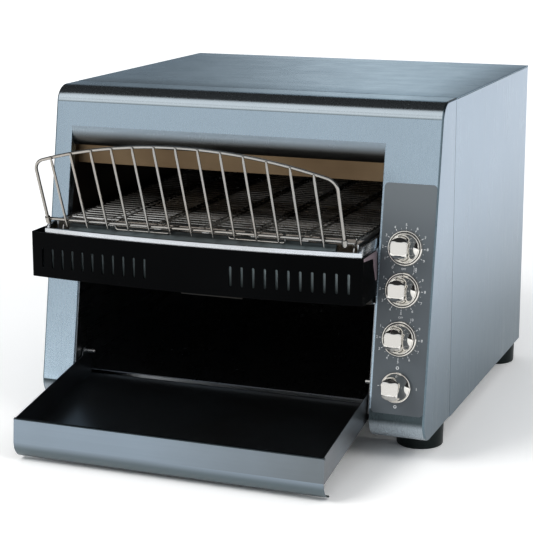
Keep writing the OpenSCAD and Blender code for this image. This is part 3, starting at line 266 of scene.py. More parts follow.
def surface(name, tint, stretch, streak, cloud, rough, smear=0.10, depth=0.05, stain_and_shade=(0.3, 0.2, 0.1), amount=0.0,
            metallic=1.0, grain=None, painted_light=None, more=None):
    """A material on the brushed-sheet group: values up to the stain's amount are the group's inputs.

    grain = (axis, turn) stretches highlights round that axis; painted_light = (axis, from, to, most)
    blends the stain_and_shade colour in between two millimetre places along X, model Y or Z; it carries
    the bands of painted shade and painted light; more is for the shader.
    """
    made = bpy.data.materials.new(name)
    made.use_nodes = True
    tree = made.node_tree
    sheet = node(tree, "Group", node_tree=BRUSHED)
    feed(tree, sheet, {"Tint": (*tint, 1), "Stretch": stretch, "Streak": streak, "Cloud": cloud, "Rough": rough,
                       "Smear": smear, "Grain Depth": depth, "Stain And Shade": (*stain_and_shade, 1), "Stain Amount": amount})
    if painted_light:
        axis, start, end, most = painted_light
        place = split_up(tree, "Object")[axis]
        feed(tree, sheet, {"Painted Light": ramp(tree, place, start / 1000, end / 1000, 0.0, most)})
    shader = tree.nodes["Principled BSDF"]
    feed(tree, shader, {"Metallic": metallic, "Base Color": sheet.outputs["Color"],
                        "Roughness": sheet.outputs["Roughness"], "Normal": sheet.outputs["Normal"], **(more or {})})
    if grain:
        axis, turn = grain
        tangent = node(tree, "Tangent", direction_type="RADIAL", axis=axis)
        feed(tree, shader, {"Tangent": tangent.outputs[0], "Anisotropic": 0.9, "Anisotropic Rotation": turn})
    return made


def finish_piece(made, material, replaced=(), body="cabinet"):
    """Gives a piece its material, hides the CAD nodes that it replaces and attaches it to its body."""
    made.data.materials.clear()
    made.data.materials.append(material)
    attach(made, body)
    if replaced:
        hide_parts(*replaced)


def spread_steel(made, material, fits):
    """Gives a further material to the facets for which fits(normal, x, y, z in the seam frame's mm) holds."""
    made.data.materials.append(material)
    for facet in made.data.polygons:
        x, y, z = (facet.center[i] * 1000 for i in range(3))
        if fits(facet.normal, x, y - SEAM_Y, z):
            facet.material_index = len(made.data.materials) - 1


def dress(nodes, material):
    """Puts a material on CAD nodes, named with spaces between, whose shape stays."""
    for name in nodes.split():
        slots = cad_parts[name].data.materials
        slots.clear()
        slots.append(material)


def solid(name, points, faces, smooth=True, angle=35):
    """A mesh from millimetre points in the seam frame; edges sharper than the angle stay crisp."""
    place = (np.asarray(points, float).reshape(-1, 3) + [0, SEAM_Y, 0]) / 1000
    mesh = bpy.data.meshes.new(name)
    mesh.from_pydata(place.tolist(), [], [list(map(int, f)) for f in faces])
    mesh.validate()
    mesh.update()
    made = added(name, mesh)
    if smooth:
        mesh.polygons.foreach_set("use_smooth", np.ones(len(mesh.polygons), bool))
        mesh.set_sharp_from_angle(angle=math.radians(angle))
    return made


def grid_faces(rows, columns, around=False, start=0):
    """Quads of a grid of rows x columns; around closes each row to a loop."""
    i, j = np.indices((rows - 1, columns if around else columns - 1)).reshape(2, -1)
    i, m = i * columns, (j + 1) % columns
    return np.stack([i + j, i + m, i + columns + m, i + columns + j], 1) + start


def lattice(name, x, y, z, angle=35):
    """A sheet through a grid of points; x, y and z are spread over its rows and columns."""
    points = np.stack(np.broadcast_arrays(x, y, z), -1).astype(float)
    return solid(name, points, grid_faces(*points.shape[:2]), angle=angle)


def weld(mesh, distance):
    """Merges points that lie together and turns every face outwards."""
    work = bmesh.new()
    work.from_mesh(mesh)
    bmesh.ops.remove_doubles(work, verts=work.verts, dist=distance)
    bmesh.ops.recalc_face_normals(work, faces=work.faces)
    work.to_mesh(mesh)
    work.free()


def thicken(made, wall, offset=-1.0):
    """Gives an open sheet its thickness, inwards unless told otherwise, with crisp cut edges."""
    wrap = made.modifiers.new("thickness", "SOLIDIFY")
    wrap.thickness, wrap.offset, wrap.use_even_offset = wall / 1000, offset, True
    view = bpy.context.evaluated_depsgraph_get()
    view.update()
    thin, made.data = made.data, bpy.data.meshes.new_from_object(made.evaluated_get(view))
    made.modifiers.clear()
    bpy.data.meshes.remove(thin)
    made.data.set_sharp_from_angle(angle=math.radians(38))
    return made


def turn_out(made, inside):
    """Turns the faces so that, weighed by area, they point away from a point of the seam frame."""
    centre = (np.array(inside) + [0, SEAM_Y, 0]) / 1000
    away = sum((np.array(f.center) - centre) @ f.normal * f.area for f in made.data.polygons)
    if away < 0:
        made.data.flip_normals()
    return made


def arc(u, v, radius, first, last, count):
    """Points of a circle round (u, v) between two angles in degrees."""
    t = np.radians(np.linspace(first, last, count))
    return np.stack([u + radius * np.cos(t), v + radius * np.sin(t)], 1)


def unit(vectors):
    """One vector, or each row of many, brought to length 1."""
    return vectors / np.linalg.norm(vectors, axis=-1, keepdims=True)


def headings(path):
    """Unit directions along a path, from central differences."""
    return unit(np.gradient(np.asarray(path, float), axis=0))


def rounded_corner(before, corner, after, radius, count):
    """Points of the arc that rounds a corner: centre = corner + bisector * radius / sin(half angle)."""
    before, corner, after = (np.array(p, float) for p in (before, corner, after))
    u, w = unit(before - corner), unit(after - corner)
    half = math.acos(u @ w) / 2
    centre = corner + unit(u + w) * radius / math.sin(half)
    ends = (corner + v * radius / math.tan(half) - centre for v in (u, w))
    first, last = (math.degrees(math.atan2(end[1], end[0])) for end in ends)
    return arc(*centre, radius, first, last + 360 * round((first - last) / 360), count)


STAINLESS = surface(
    "brushed_stainless", (0.345, 0.435, 0.51), (430, 430, 5), 0.20, 0.10, 0.27, 0.08, 0.10, grain=("X", 0.25))
# Top roll: a lighter copy of the stainless as a painted highlight, with painted shade darkening it towards the
# crease at z 396, from z 398.5.
STAINLESS_ROLL_PAINTED_LIGHT = surface(
    "brushed_stainless_roll_painted_light", (0.56, 0.63, 0.67), (430, 430, 5), 0.20, 0.10, 0.25, 0.08, 0.10,
    (0.10, 0.14, 0.16), grain=("X", 0.25), painted_light=("Z", 398.5, 396, 0.8))
# Foot roll: painted shade, darkest from z 53 up to where the roll meets the face and fading out towards z 44.
STAINLESS_FOOT_PAINTED_SHADE = surface(
    "brushed_stainless_foot_painted_shade", (0.34, 0.39, 0.43), (430, 430, 5), 0.20, 0.10, 0.28, 0.08, 0.10,
    (0.035, 0.05, 0.055), grain=("X", 0.25), painted_light=("Z", 44, 53, 0.95))
# Turned ends of the fascia: a dark copy of the stainless as painted shade.
STAINLESS_EDGE_PAINTED_SHADE = surface(
    "brushed_stainless_edge_painted_shade", (0.13, 0.18, 0.21), (430, 430, 5), 0.20, 0.10, 0.28, 0.08, 0.10)
STAINLESS_TOP = surface(
    "brushed_stainless_top", (0.35, 0.50, 0.61), (5, 430, 430), 0.14, 0.10, 0.24, 0.10, 0.08, grain=("X", 0.0))
# Sides: painted shade that darkens the steel towards the bottom, between z 330 and z 20.
STAINLESS_SIDE = surface(
    "brushed_stainless_side", (0.40, 0.475, 0.56), (430, 430, 5), 0.16, 0.10, 0.30, 0.08, 0.10,
    (0.135, 0.175, 0.20), grain=("Z", 0.0), painted_light=("Z", 330, 20, 0.85))


ROLL_STEPS, FOOT_STEPS = 26, 22


def fascia_outline():
    """Seam, top roll of 23 mm, leaning face, foot roll of 26 mm, seam: rows of [y, z]."""
    roll = rounded_corner([0, TOP_Z], BROW, TOE, 23, ROLL_STEPS)
    foot = rounded_corner(BROW, TOE, [0, FOOT_Z], 26, FOOT_STEPS)
    rest = [[face_y(z), z] for z in (HOOD_Z, 300, 250, STEP_Z, 150, 100, FOOT_BEND_Z)]
    return np.vstack([[[0, TOP_Z], [-18, TOP_Z]], roll, rest, foot, [[-60, FOOT_Z], [-30, FOOT_Z], [0, FOOT_Z]]])


def fascia():
    """Grid of outline rows and width columns. The last columns turn round each end with a 2.2 mm
    radius (outline drawn in by q - q sin a), then run back along the side to 2 mm before the seam:
    y becomes y (1 - t) + max(y, -2) t. Facets that these turns press flat are left out."""
    rows = fascia_outline()
    inward = headings(rows)[:, ::-1] * [-1, 1]
    q, edge, seam_gap, least_area = 2.2, 1.2, 2, 0.05
    a = np.linspace(0, math.pi / 2, 6)
    turn_x, turn_in = HALF_W - q + q * np.cos(a), q - q * np.sin(a)
    flat = np.array([CHAMBER_L - edge, OPEN_L - edge, -120, -20, 80, OPEN_R + edge])
    xs = np.concatenate([[-HALF_W, -HALF_W], -turn_x, flat, turn_x[::-1], [HALF_W, HALF_W]])
    inset = np.concatenate([[q, q], turn_in, 0 * flat, turn_in[::-1], [q, q]])
    back = np.zeros(len(xs))
    back[:2], back[-2:] = (1, 0.5), (0.5, 1)
    spot = rows[:, None, :] + inward[:, None, :] * inset[None, :, None]
    forward = np.minimum(spot[..., 0], 0)
    y = forward * (1 - back) + np.maximum(forward, -seam_gap) * back
    points = np.stack(np.broadcast_arrays(xs, y, spot[..., 1]), -1)
    faces = grid_faces(len(rows), len(xs))
    corner = points.reshape(-1, 3)[faces]
    area = np.linalg.norm(np.cross(corner[:, 2] - corner[:, 0], corner[:, 3] - corner[:, 1]), axis=1) / 2
    x, _, z = corner.mean(1).T
    below_roll = np.arange(len(faces)) // (len(xs) - 1) >= 2 + ROLL_STEPS
    mouth = (z < STEP_Z) & (x > OPEN_L - 2)
    entry = (z > STEP_Z) & (z < HOOD_Z) & (x > CHAMBER_L - 2)
    hole = below_roll & (x < OPEN_R) & (mouth | entry)
    made = solid("fascia_sheet", points, faces[~hole & (area > least_area)], angle=50)
    thicken(turn_out(made, (0, 40, 200)), SHEET)
    finish_piece(made, STAINLESS, ("front_fascia",))
    # Painted shade on the foot roll, a painted highlight and painted shade on the top roll, painted shade on the
    # turned ends; top and side facets take the cover's and the sides' steel.
    spread_steel(made, STAINLESS_FOOT_PAINTED_SHADE, lambda normal, x, y, z: z < (FOOT_BEND_Z if x > 0 else LEFT_BEND_Z))
    spread_steel(made, STAINLESS_ROLL_PAINTED_LIGHT, lambda normal, x, y, z: z > ROOF_BEND_Z)
    spread_steel(made, STAINLESS_TOP, lambda normal, x, y, z: normal.z > 0.96)
    spread_steel(made, STAINLESS_EDGE_PAINTED_SHADE, lambda normal, x, y, z: 0.1 < abs(normal.x) <= 0.9)
    spread_steel(made, STAINLESS_SIDE, lambda normal, x, y, z: abs(normal.x) > 0.9)


fascia()


def hood():
    """The face's lower edge rolled inwards: 28 mm radius through 55 degrees, carried across the entry."""
    radius, turn, lean = 28, 55, math.degrees(LEAN_A)
    middle = face_y(HOOD_Z) + radius * math.cos(LEAN_A), HOOD_Z - radius * math.sin(LEAN_A)
    rows = arc(*middle, radius, 180 - lean, 180 - lean + turn, 20)
    xs = np.linspace(CHAMBER_L - SHEET, OPEN_R + SHEET, 12)
    made = lattice("hood_roll", xs, rows[:, :1], rows[:, 1:])
    thicken(turn_out(made, (0, 40, 380)), SHEET)
    finish_piece(made, HOOD_STEEL, ("front_fascia",))


# The hood darkens towards its inturned lower edge, from z 372 down to z 350: painted shade.
HOOD_STEEL = surface(
    "hood_steel", (0.30, 0.37, 0.43), (1500, 1500, 14), 0.16, 0.2, 0.30, 0.12, 0.08, (0.050, 0.046, 0.040),
    painted_light=("Z", 372, 350, 0.97))
hood()


def opening_edge(name, x, side, z0, z1):
    """Turned edge of the opening: a 1.2 mm quarter bend and 12 mm of return, carried up the face."""
    zs = np.linspace(z0, z1, 14)[:, None]
    a = np.linspace(0, math.pi / 2, 5)
    across = np.concatenate([side * SHEET * (1 - np.sin(a)), [0.0]])
    depth = np.concatenate([SHEET * (1 - np.cos(a)), [12.0]])
    made = lattice(name, x + across, face_y(zs) + depth, zs, 50)
    thicken(turn_out(made, (x + side * 30, 30, (z0 + z1) / 2)), SHEET)
    finish_piece(made, STAINLESS, ("front_fascia",))


opening_edge("opening_edge_right", OPEN_R, 1, EDGE_Z, HOOD_Z)
opening_edge("opening_edge_left", OPEN_L, -1, EDGE_Z, STEP_Z)
opening_edge("opening_edge_upper_left", CHAMBER_L, -1, STEP_Z, HOOD_Z)


def side_sheet(name, replaced, s):
    """Flat side with a 3 mm bend to the rear flange and a 1.2 mm bend at the seam."""
    flange, corner, seam = [s * (HALF_W - 14), DEPTH], [s * HALF_W, DEPTH], [s * HALF_W, 0.8]
    rear = rounded_corner(flange, corner, seam, 3.0, 8)
    front = rounded_corner(corner, seam, [s * (HALF_W - 8), 0.8], 1.2, 6)
    plan = np.vstack([[flange], rear, [[s * HALF_W, 200]], front, [[s * (HALF_W - 6), 0.8]]])
    made = lattice(name, plan[:, 0], plan[:, 1], np.linspace(FOOT_Z, TOP_Z - 2, 6)[:, None], 50)
    thicken(turn_out(made, (0, 200, 220)), SHEET)
    finish_piece(made, STAINLESS_SIDE, (replaced,))


side_sheet("side_sheet_right", "side_panel_right", 1)
side_sheet("side_sheet_left", "side_panel_left", -1)


# A near-black strip in each fascia seam stands in for its shadow line: painted shade.
SEAM_SHADE = surface(
    "joint_seal", (0.012, 0.014, 0.016), (300, 300, 300), 0.3, 0.4, 0.5, 0.1, 0.2, (0.03, 0.03, 0.03), 0.3,
    metallic=0.0)


def joint_seal(name, s):
    """Near-black strip in the joint between fascia and side, 2.8 mm wide, 0.4 mm under the sheets: painted shade
    for the seam's shadow line.
    """
    plan = [[s * 245.2, -1.9], [s * 247.1, -1.9], [s * 247.1, 0.9], [s * 245.2, 0.9]]
    points = [[x, y, z] for z in (FOOT_Z + 6, 220, TOP_Z - 4) for x, y in plan]
    faces = grid_faces(3, 4, around=True).tolist() + [[3, 2, 1, 0], [8, 9, 10, 11]]
    made = turn_out(solid(name, points, faces, smooth=False), (s * 246, -0.5, 220))
    finish_piece(made, SEAM_SHADE)


joint_seal("seam_shade_strip_right", 1)
joint_seal("seam_shade_strip_left", -1)


def top_sheet():
    """Flat cover whose four edges turn down with a 1 mm radius: rows and columns share one profile."""
    def edge(low, high):
        first, last = arc(low + 1, TOP_Z - 1, 1, 180, 90, 5), arc(high - 1, TOP_Z - 1, 1, 90, 0, 5)
        flat = [[place, TOP_Z] for place in np.linspace(low, high, 9)[1:-1]]
        return np.vstack([[[low, TOP_Z - SHEET]], first, flat, last, [[high, TOP_Z - SHEET]]])

    u, v = edge(-HALF_W, HALF_W), edge(0.8, DEPTH)
    made = lattice("top_sheet", u[:, 0], v[:, :1], np.minimum(u[:, 1], v[:, 1:]), 60)
    thicken(turn_out(made, (0, 200, 300)), 0.9)
    finish_piece(made, STAINLESS_TOP, ("top_cover",))


top_sheet()

# ------------ product tray
# The tray hangs on two pins and slopes to the front. Its lip is a broad strip with a rolled hem
# along the top and a 22 mm curl below; the walls are cut sheets with a slot round each pin.

TRAY_L, TRAY_R, REACH, FALL = -202.5, 177.5, 264.5, math.tan(math.radians(9.5))
PIN_Y, PIN_Z, TRAY_END = -78.4, 85.1, -70.4

# Tray steel: painted shade darkens it towards the right, from x -60 to x 190; the broad patches are stains.
TRAY_STEEL = surface(
    "tray_steel", (0.245, 0.300, 0.355), (5, 430, 430), 0.14, 0.16, 0.33, 0.12, 0.08, (0.11, 0.115, 0.11), 0.2,
    painted_light=("X", -60, 190, 0.5))
TRAY_WALL = surface(
    "tray_wall_steel", (0.21, 0.235, 0.26), (430, 6, 430), 0.14, 0.2, 0.34, 0.12, 0.08, (0.10, 0.07, 0.05), 0.4)
# The curl under the lip: painted shade, darker towards its bottom between z 25 and z 15.
TRAY_CURL_SHADE = surface(
    "tray_curl_painted_shade", (0.235, 0.285, 0.335), (5, 430, 430), 0.14, 0.16, 0.33, 0.12, 0.08, (0.09, 0.115, 0.12),
    painted_light=("Z", 25, 15, 0.75))
# The rolled hem along the lip's top: a near-black copy of the tray steel, painted shade.
TRAY_HEM_SHADE = surface("tray_hem_painted_shade", (0.035, 0.045, 0.050), (5, 430, 430), 0.2, 0.2, 0.36, 0.12, 0.08)


def tray_floor(y):
    """The floor's slope: z = 22 + tan(9.5 degrees) * (y + reach)."""
    return 22 + FALL * (y + REACH)


def swept(name, profile, xs):
    """A sheet with the profile [y, z] carried along X."""
    return lattice(name, xs, profile[:, :1], profile[:, 1:])


def filled(curve):
    """Mesh of a filled curve; the curve itself goes."""
    holder = bpy.data.objects.new("outline", curve)
    mesh = bpy.data.meshes.new_from_object(holder)
    bpy.data.objects.remove(holder)
    bpy.data.curves.remove(curve)
    return mesh


def cut_sheet(name, outlines, thick, place, ease=0.25):
    """A flat sheet cut to the first outline with the others as holes; place maps (u, v, w) to (x, y, z)."""
    curve = bpy.data.curves.new(name, "CURVE")
    curve.dimensions, curve.fill_mode = "2D", "BOTH"
    curve.extrude, curve.bevel_depth, curve.bevel_resolution, curve.offset = thick / 2 - ease, ease, 0, -ease
    for line in outlines:
        spline = curve.splines.new("POLY")
        spline.points.add(len(line) - 1)
        flat_ends = np.tile([0.0, 1.0], (len(line), 1))
        spline.points.foreach_set("co", np.hstack([line, flat_ends]).ravel())
        spline.use_cyclic_u = True
    flat = filled(curve)
    weld(flat, 1e-4)
    points = [place(*v.co) for v in flat.vertices]
    made = solid(name, points, [list(f.vertices) for f in flat.polygons], angle=30)
    bpy.data.meshes.remove(flat)
    return made


def gather(name, parts):
    """Joins finished parts into one piece, each part's modifiers applied first."""
    work = bmesh.new()
    view = bpy.context.evaluated_depsgraph_get()
    view.update()
    for part in parts:
        shape = bpy.data.meshes.new_from_object(part.evaluated_get(view))
        work.from_mesh(shape)
        bpy.data.meshes.remove(shape)
    mesh = bpy.data.meshes.new(name)
    work.to_mesh(mesh)
    work.free()
    for part in parts:
        bpy.data.objects.remove(part)
    mesh.set_sharp_from_angle(angle=math.radians(40))
    return added(name, mesh)


def product_tray():
    """Lip swept along X, a sloping floor, and two side walls that rise to an ear round each pin."""
    ends = np.array([TRAY_L - 1, TRAY_L - 0.7, -120, -12, 90, TRAY_R + 0.7, TRAY_R + 1])
    hem = arc(-260.4, 51, 2, -60, 172, 16)
    curl = arc(-242.5, 24, 22, 180, 260, 18)
    tip = math.radians(80)
    turn = arc(-246.3 + 1.1 * math.cos(tip), 2.33 + 1.1 * math.sin(tip), 1.1, 265, 420, 8)
    lip = thicken(turn_out(swept("lip", np.vstack([hem, curl, turn]), ends), (0, -230, 50)), 0.8)
    ear_y, ear_z, slot_r, sheet = PIN_Y - 9, PIN_Z + 7, 3.4, 1.2
    upper = [[-262, 52.5], [ear_y - 6, tray_floor(ear_y - 6) + 31], [ear_y - 2, ear_z - 1.5], [ear_y + 1, ear_z],
             [TRAY_END - 2, ear_z], [TRAY_END, ear_z - 2], [TRAY_END, PIN_Z + slot_r]]
    lower = [[TRAY_END, PIN_Z - slot_r]] + [[y, tray_floor(y) - sheet] for y in (TRAY_END, -262.5)]
    wall = np.vstack([upper, arc(PIN_Y, PIN_Z, slot_r, 90, 270, 12), lower])
    middles = (TRAY_L + sheet / 2, TRAY_R - sheet / 2)
    sides = [cut_sheet("wall", [wall], sheet, lambda u, v, w, x=x: (x + w, u, v)) for x in middles]
    ys = np.array([-263.2, TRAY_END])
    floor = swept("floor", np.stack([ys, tray_floor(ys)], 1), np.array([middles[0], -12, middles[1]]))
    floor = thicken(turn_out(floor, (0, -160, 0)), sheet)
    made = gather("product_tray_sheet", [lip, floor, *sides])
    finish_piece(made, TRAY_STEEL, ("product_tray",), body="product_tray")
    spread_steel(made, TRAY_WALL, lambda normal, x, y, z: y > -259 and z > tray_floor(y) - 2)
    # The curl and the hem take the painted-shade copies of the tray steel.
    spread_steel(made, TRAY_CURL_SHADE, lambda normal, x, y, z: y < -238 and z < 35 and abs(normal.x) < 0.5)
    spread_steel(made, TRAY_HEM_SHADE, lambda normal, x, y, z: y < -255 and z > 51.5 and abs(normal.x) < 0.5)


product_tray()

# ------------ heat guard
# A black lacquered shield bowed 13 mm forwards, with two groups of eleven upright slots whose
# ends are round, and a short return at each end.

GUARD_L, GUARD_R, GUARD_MID, GUARD_ARC = -240.0, 181.2, -29.4, 1712.4
GUARD_LOW, GUARD_TOP, GUARD_FRONT = 193.0, 248.0, -156.5


def bow_y(x, depth=0.0):
    """Front of the bow, or a curve drawn in by depth: y = front + arc - sqrt((arc - depth)^2 - (x - mid)^2)."""
    return GUARD_FRONT + GUARD_ARC - np.sqrt((GUARD_ARC - depth) ** 2 - (np.asarray(x, float) - GUARD_MID) ** 2)


def heat_guard():
    """Round each slot a ring of quads out to its 14 mm cell; plain grids elsewhere. Both ends turn back
    with a 2.5 mm radius, and the right one's rear edge is rounded off 10 mm at the top."""
    points, faces = [], []
    low, top, r, cell, first, slots = 205.1, 229.1, 1.5, 14, 54.5, 11
    lowest, highest, strip_low, strip_top = low + r, top - r, 199, 239
    q, gap_left, gap_right, round_r = 2.5, 1.5, 5.5, 10
    for side in (-1, 1):
        for i in range(slots):
            x, h = GUARD_MID + side * (first + cell * i), cell / 2
            inner = np.vstack([arc(x, highest, r, 0, 180, 7), arc(x, lowest, r, 180, 360, 7)])
            above, below = (highest, strip_top, GUARD_TOP), (lowest, strip_low, GUARD_LOW)
            cell_edge = [[h, z] for z in above] + [[0, GUARD_TOP]] + [[-h, z] for z in above[::-1]]
            cell_edge += [[-h, z] for z in below] + [[0, GUARD_LOW]] + [[h, z] for z in below[::-1]]
            ring = np.vstack([inner, np.array(cell_edge) + [x, 0]])
            faces += grid_faces(2, 14, around=True, start=len(points)).tolist()
            points += [[p, bow_y(p), q] for p, q in ring]
    rows = [GUARD_LOW, strip_low, lowest, highest, strip_top, 241, 243.5, 245.8, 247.3, GUARD_TOP]
    bend = np.radians(np.linspace(0, 90, 6))
    near, far = first - cell / 2, first + cell * (slots - 0.5)
    for x0, x1, end in ((GUARD_L + q, GUARD_MID - far, -1), (GUARD_MID - near, GUARD_MID + near, 0),
                        (GUARD_MID + far, GUARD_R - q, 1)):
        xs = np.linspace(x0, x1, 9 if end == 0 else 4)
        start = len(points)
        for z in rows:
            line = [[x, float(bow_y(x)), z] for x in xs]
            if end:
                tip = xs[0] if end < 0 else xs[-1]
                yc = float(bow_y(tip)) + q
                corner = [[tip + end * q * math.sin(a), yc - q * math.cos(a), z] for a in bend[1:]]
                back = face_y(z) - gap_left
                if end > 0:
                    rise = max(z - GUARD_TOP + round_r, 0)
                    back = face_y(GUARD_TOP) - gap_right - round_r + math.sqrt(round_r ** 2 - rise ** 2)
                corner.append([tip + end * q, back, z])
                line = line + corner if end > 0 else corner[::-1] + line
            points += line
        faces += grid_faces(len(rows), len(line), start=start).tolist()
    made = solid("guard_sheet", points, faces)
    weld(made.data, 1e-5)
    thicken(turn_out(made, (0, -60, 220)), 1.2)
    finish_piece(made, BLACK_LACQUER, ("heat_guard",))


BLACK_LACQUER = surface(
    "black_lacquer", (0.0008, 0.0010, 0.0012), (120, 120, 120), 0.3, 0.5, 0.36, 0.10, 0.04,
    (0.003, 0.003, 0.0035), 0.3, metallic=0.0, more={"Specular IOR Level": 0.02})
heat_guard()

# ------------ guard bracket's outer plate
# On the right, the bracket that carries the guard shows outside the guard's return as a thin
# upside-down L of heat-tinted steel: a strip under the pan's rim and a strip down the column.

TINTED_STEEL = surface(
    "heat_tinted_steel", (0.40, 0.31, 0.35), (300, 12, 300), 0.2, 0.5, 0.34, 0.2, 0.1, (0.22, 0.13, 0.12), 0.5,
    metallic=0.55)
bracket_line = np.vstack([[[-141, 247.4], [-93.5, 247.4], [-93.5, 213], [-97.5, 213], [-105, 232]],
                          arc(-112, 234, 7, 5, 90, 8), [[-141, 243.8]]])
bracket_plate = cut_sheet("bracket_plate_right", [bracket_line], 0.7, lambda u, v, w: (GUARD_R + 0.5 + w, u, v))
finish_piece(bracket_plate, TINTED_STEEL)

# ------------ conveyor pan
# A shallow pan in front of the belt's nose. Its bright rim follows the bow 5 mm behind the guard,
# turns the corners and rises along both sides of the belt; a sloping shelf leads up to the belt.

BRIGHT_STEEL = surface(
    "bright_steel", (0.74, 0.78, 0.82), (10, 500, 500), 0.22, 0.35, 0.22, 0.16, 0.12, (0.30, 0.27, 0.23), 0.35)
SHELF_STEEL = surface(
    "shelf_steel", (0.12, 0.145, 0.15), (12, 300, 300), 0.3, 0.6, 0.36, 0.2, 0.08, (0.035, 0.028, 0.022), 0.7)
# The apron seen through the guard's slots darkens towards the bottom, from z 236 to z 204: painted shade.
APRON_STEEL = surface(
    "apron_steel", (0.62, 0.74, 0.77), (10, 300, 300), 0.2, 0.3, 0.5, 0.1, 0.1, (0.02, 0.03, 0.03),
    metallic=0.3, painted_light=("Z", 236, 204, 0.85))
PAN_L, PAN_R, PAN_Z, LIP_Z, SIDE_Z = -222.5, 178.5, 236.7, 253.0, 259.5


def conveyor_pan():
    """Rim: rows are a wall with a 4 mm inward flange, columns the stations of its plan, corners mitred.

    The apron is a plain strip 36 mm deep under the bowed front of the rim.
    """
    bow = np.linspace(PAN_L, PAN_R, 41)
    left = [[PAN_L, -57.8, SIDE_Z], [PAN_L, -132.6, SIDE_Z], [PAN_L, -137.4, LIP_Z + 1.7]]
    right = [[PAN_R, y, z] for _, y, z in left[::-1]]
    plan = np.vstack([left, np.column_stack([bow, bow_y(bow, 5.0), np.full(41, LIP_Z)]), right])
    normal = unit(np.diff(plan[:, :2], axis=0))[:, ::-1] * [-1, 1]
    inward = np.vstack([normal[:1], normal[:-1] + normal[1:], normal[-1:]])
    inward *= 2 / (inward ** 2).sum(1)[:, None]
    inward[0], inward[-1] = normal[0], normal[-1]
    depth, drop = np.array([(0, 0), (0, 1.0), (0.3, 0.3), (1.0, 0), (3.4, 0), (4.0, 0.3), (4.3, 1.0), (4.3, 2.6)]).T
    z = plan[:, 2] - drop[:, None]
    z[0] = PAN_Z
    spot = plan[:, :2] + inward * depth[:, None, None]
    rim = lattice("rim", spot[..., 0], spot[..., 1], z, 40)
    rim = thicken(turn_out(rim, (GUARD_MID, -100, 245)), 0.9)
    front = plan[plan[:, 1] < -138.5]
    apron = lattice("apron", front[:, 0], front[:, 1], [[PAN_Z - 36], [PAN_Z]])
    apron = thicken(turn_out(apron, (GUARD_MID, -100, 215)), 0.9)
    shelf = np.vstack([[[-132.5, PAN_Z], [-132.5, 258.5]], arc(-133.7, 258.6, 1.2, 0, 145, 6),
                       [[-140.5, 250.2], [-140.8, 249.2]]])
    shelf = thicken(swept("shelf", shelf, np.linspace(-191, 147, 9)), 1.0, offset=0)
    xs = np.linspace(PAN_L + 0.5, PAN_R - 0.5, 21)
    bottom = lattice("bottom", xs, [bow_y(xs, 5.5), np.full(21, -132.5)], PAN_Z + 0.6)
    bottom = thicken(bottom, 1.0, offset=0)
    finish_piece(gather("pan_rim", [rim]), BRIGHT_STEEL, ("conveyor_pan",))
    finish_piece(gather("pan_apron", [apron]), APRON_STEEL)
    finish_piece(gather("pan_shelf", [shelf, bottom]), SHELF_STEEL)


conveyor_pan()

# ------------ wire belt
# Seventy-two cross strands of bent wire, 12.7 mm apart, run round two wheels. Each strand steps
# back over its neighbour at five places and is curled round it at both edges.

BELT_L, BELT_R, BELT_PITCH, LINKS, TURN_LINKS, WHEEL_R = -208.0, 164.0, 12.7, 30, 6, 24.534
IDLER_Y, SHAFT_Z = -102.666, 236.666


def wires(name, runs, sides):
    """One mesh of many round wires; runs holds (path, radius). A wire's rings stand square to its
    mean direction and are carried along it without twist."""
    points, faces = [], []
    t = np.arange(sides)[:, None] * 2 * math.pi / sides
    for path, radius in runs:
        first, along = len(points), headings(path)
        side = np.cross(along[0], [0.31, 0.17, 0.93])
        for p, d, r in zip(path, along, np.broadcast_to(radius, len(path))):
            side = unit(side - d * (side @ d))
            points.extend(p + r * (np.cos(t) * side + np.sin(t) * np.cross(d, side)))
        last = len(points) - sides
        faces += grid_faces(len(path), sides, around=True, start=first)[:, ::-1].tolist()
        faces += [list(range(first, first + sides)), list(range(last, last + sides))[::-1]]
    return solid(name, points, faces, angle=50)


def eased(path, radius, count):
    """The path with every inner corner p eased from a to b: (1 - t)^2 a + 2 t (1 - t) p + t^2 b."""
    path = [np.array(p, float) for p in path]
    out = [path[0]]
    for before, p, after in zip(path, path[1:], path[2:]):
        u, w = unit(before - p), unit(after - p)
        half = math.acos(np.clip(u @ w, -1, 1)) / 2
        room = 0.48 * min(np.linalg.norm(before - p), np.linalg.norm(after - p))
        reach = min(radius / math.tan(half) if half < 1.55 else 0, room)
        if reach < 1e-3:
            out.append(p)
            continue
        a, b = p + u * reach, p + w * reach
        out += [(1 - t) ** 2 * a + 2 * t * (1 - t) * p + t * t * b for t in np.linspace(0, 1, count)]
    return np.array(out + [path[-1]])


def loop_point(s, out):
    """Point of the belt's loop at run s in pitches, lifted outwards: top run, rear wheel, lower run, nose."""
    s = s % (2 * (LINKS + TURN_LINKS))
    r = WHEEL_R + out
    if s <= LINKS:
        return IDLER_Y + s * BELT_PITCH, SHAFT_Z + r
    if s < LINKS + TURN_LINKS:
        a = (s - LINKS) * math.pi / TURN_LINKS
        return IDLER_Y + LINKS * BELT_PITCH + r * math.sin(a), SHAFT_Z + r * math.cos(a)
    if s <= 2 * LINKS + TURN_LINKS:
        return IDLER_Y + (2 * LINKS + TURN_LINKS - s) * BELT_PITCH, SHAFT_Z - r
    a = (s - 2 * LINKS - TURN_LINKS) * math.pi / TURN_LINKS
    return IDLER_Y - r * math.sin(a), SHAFT_Z - r * math.cos(a)


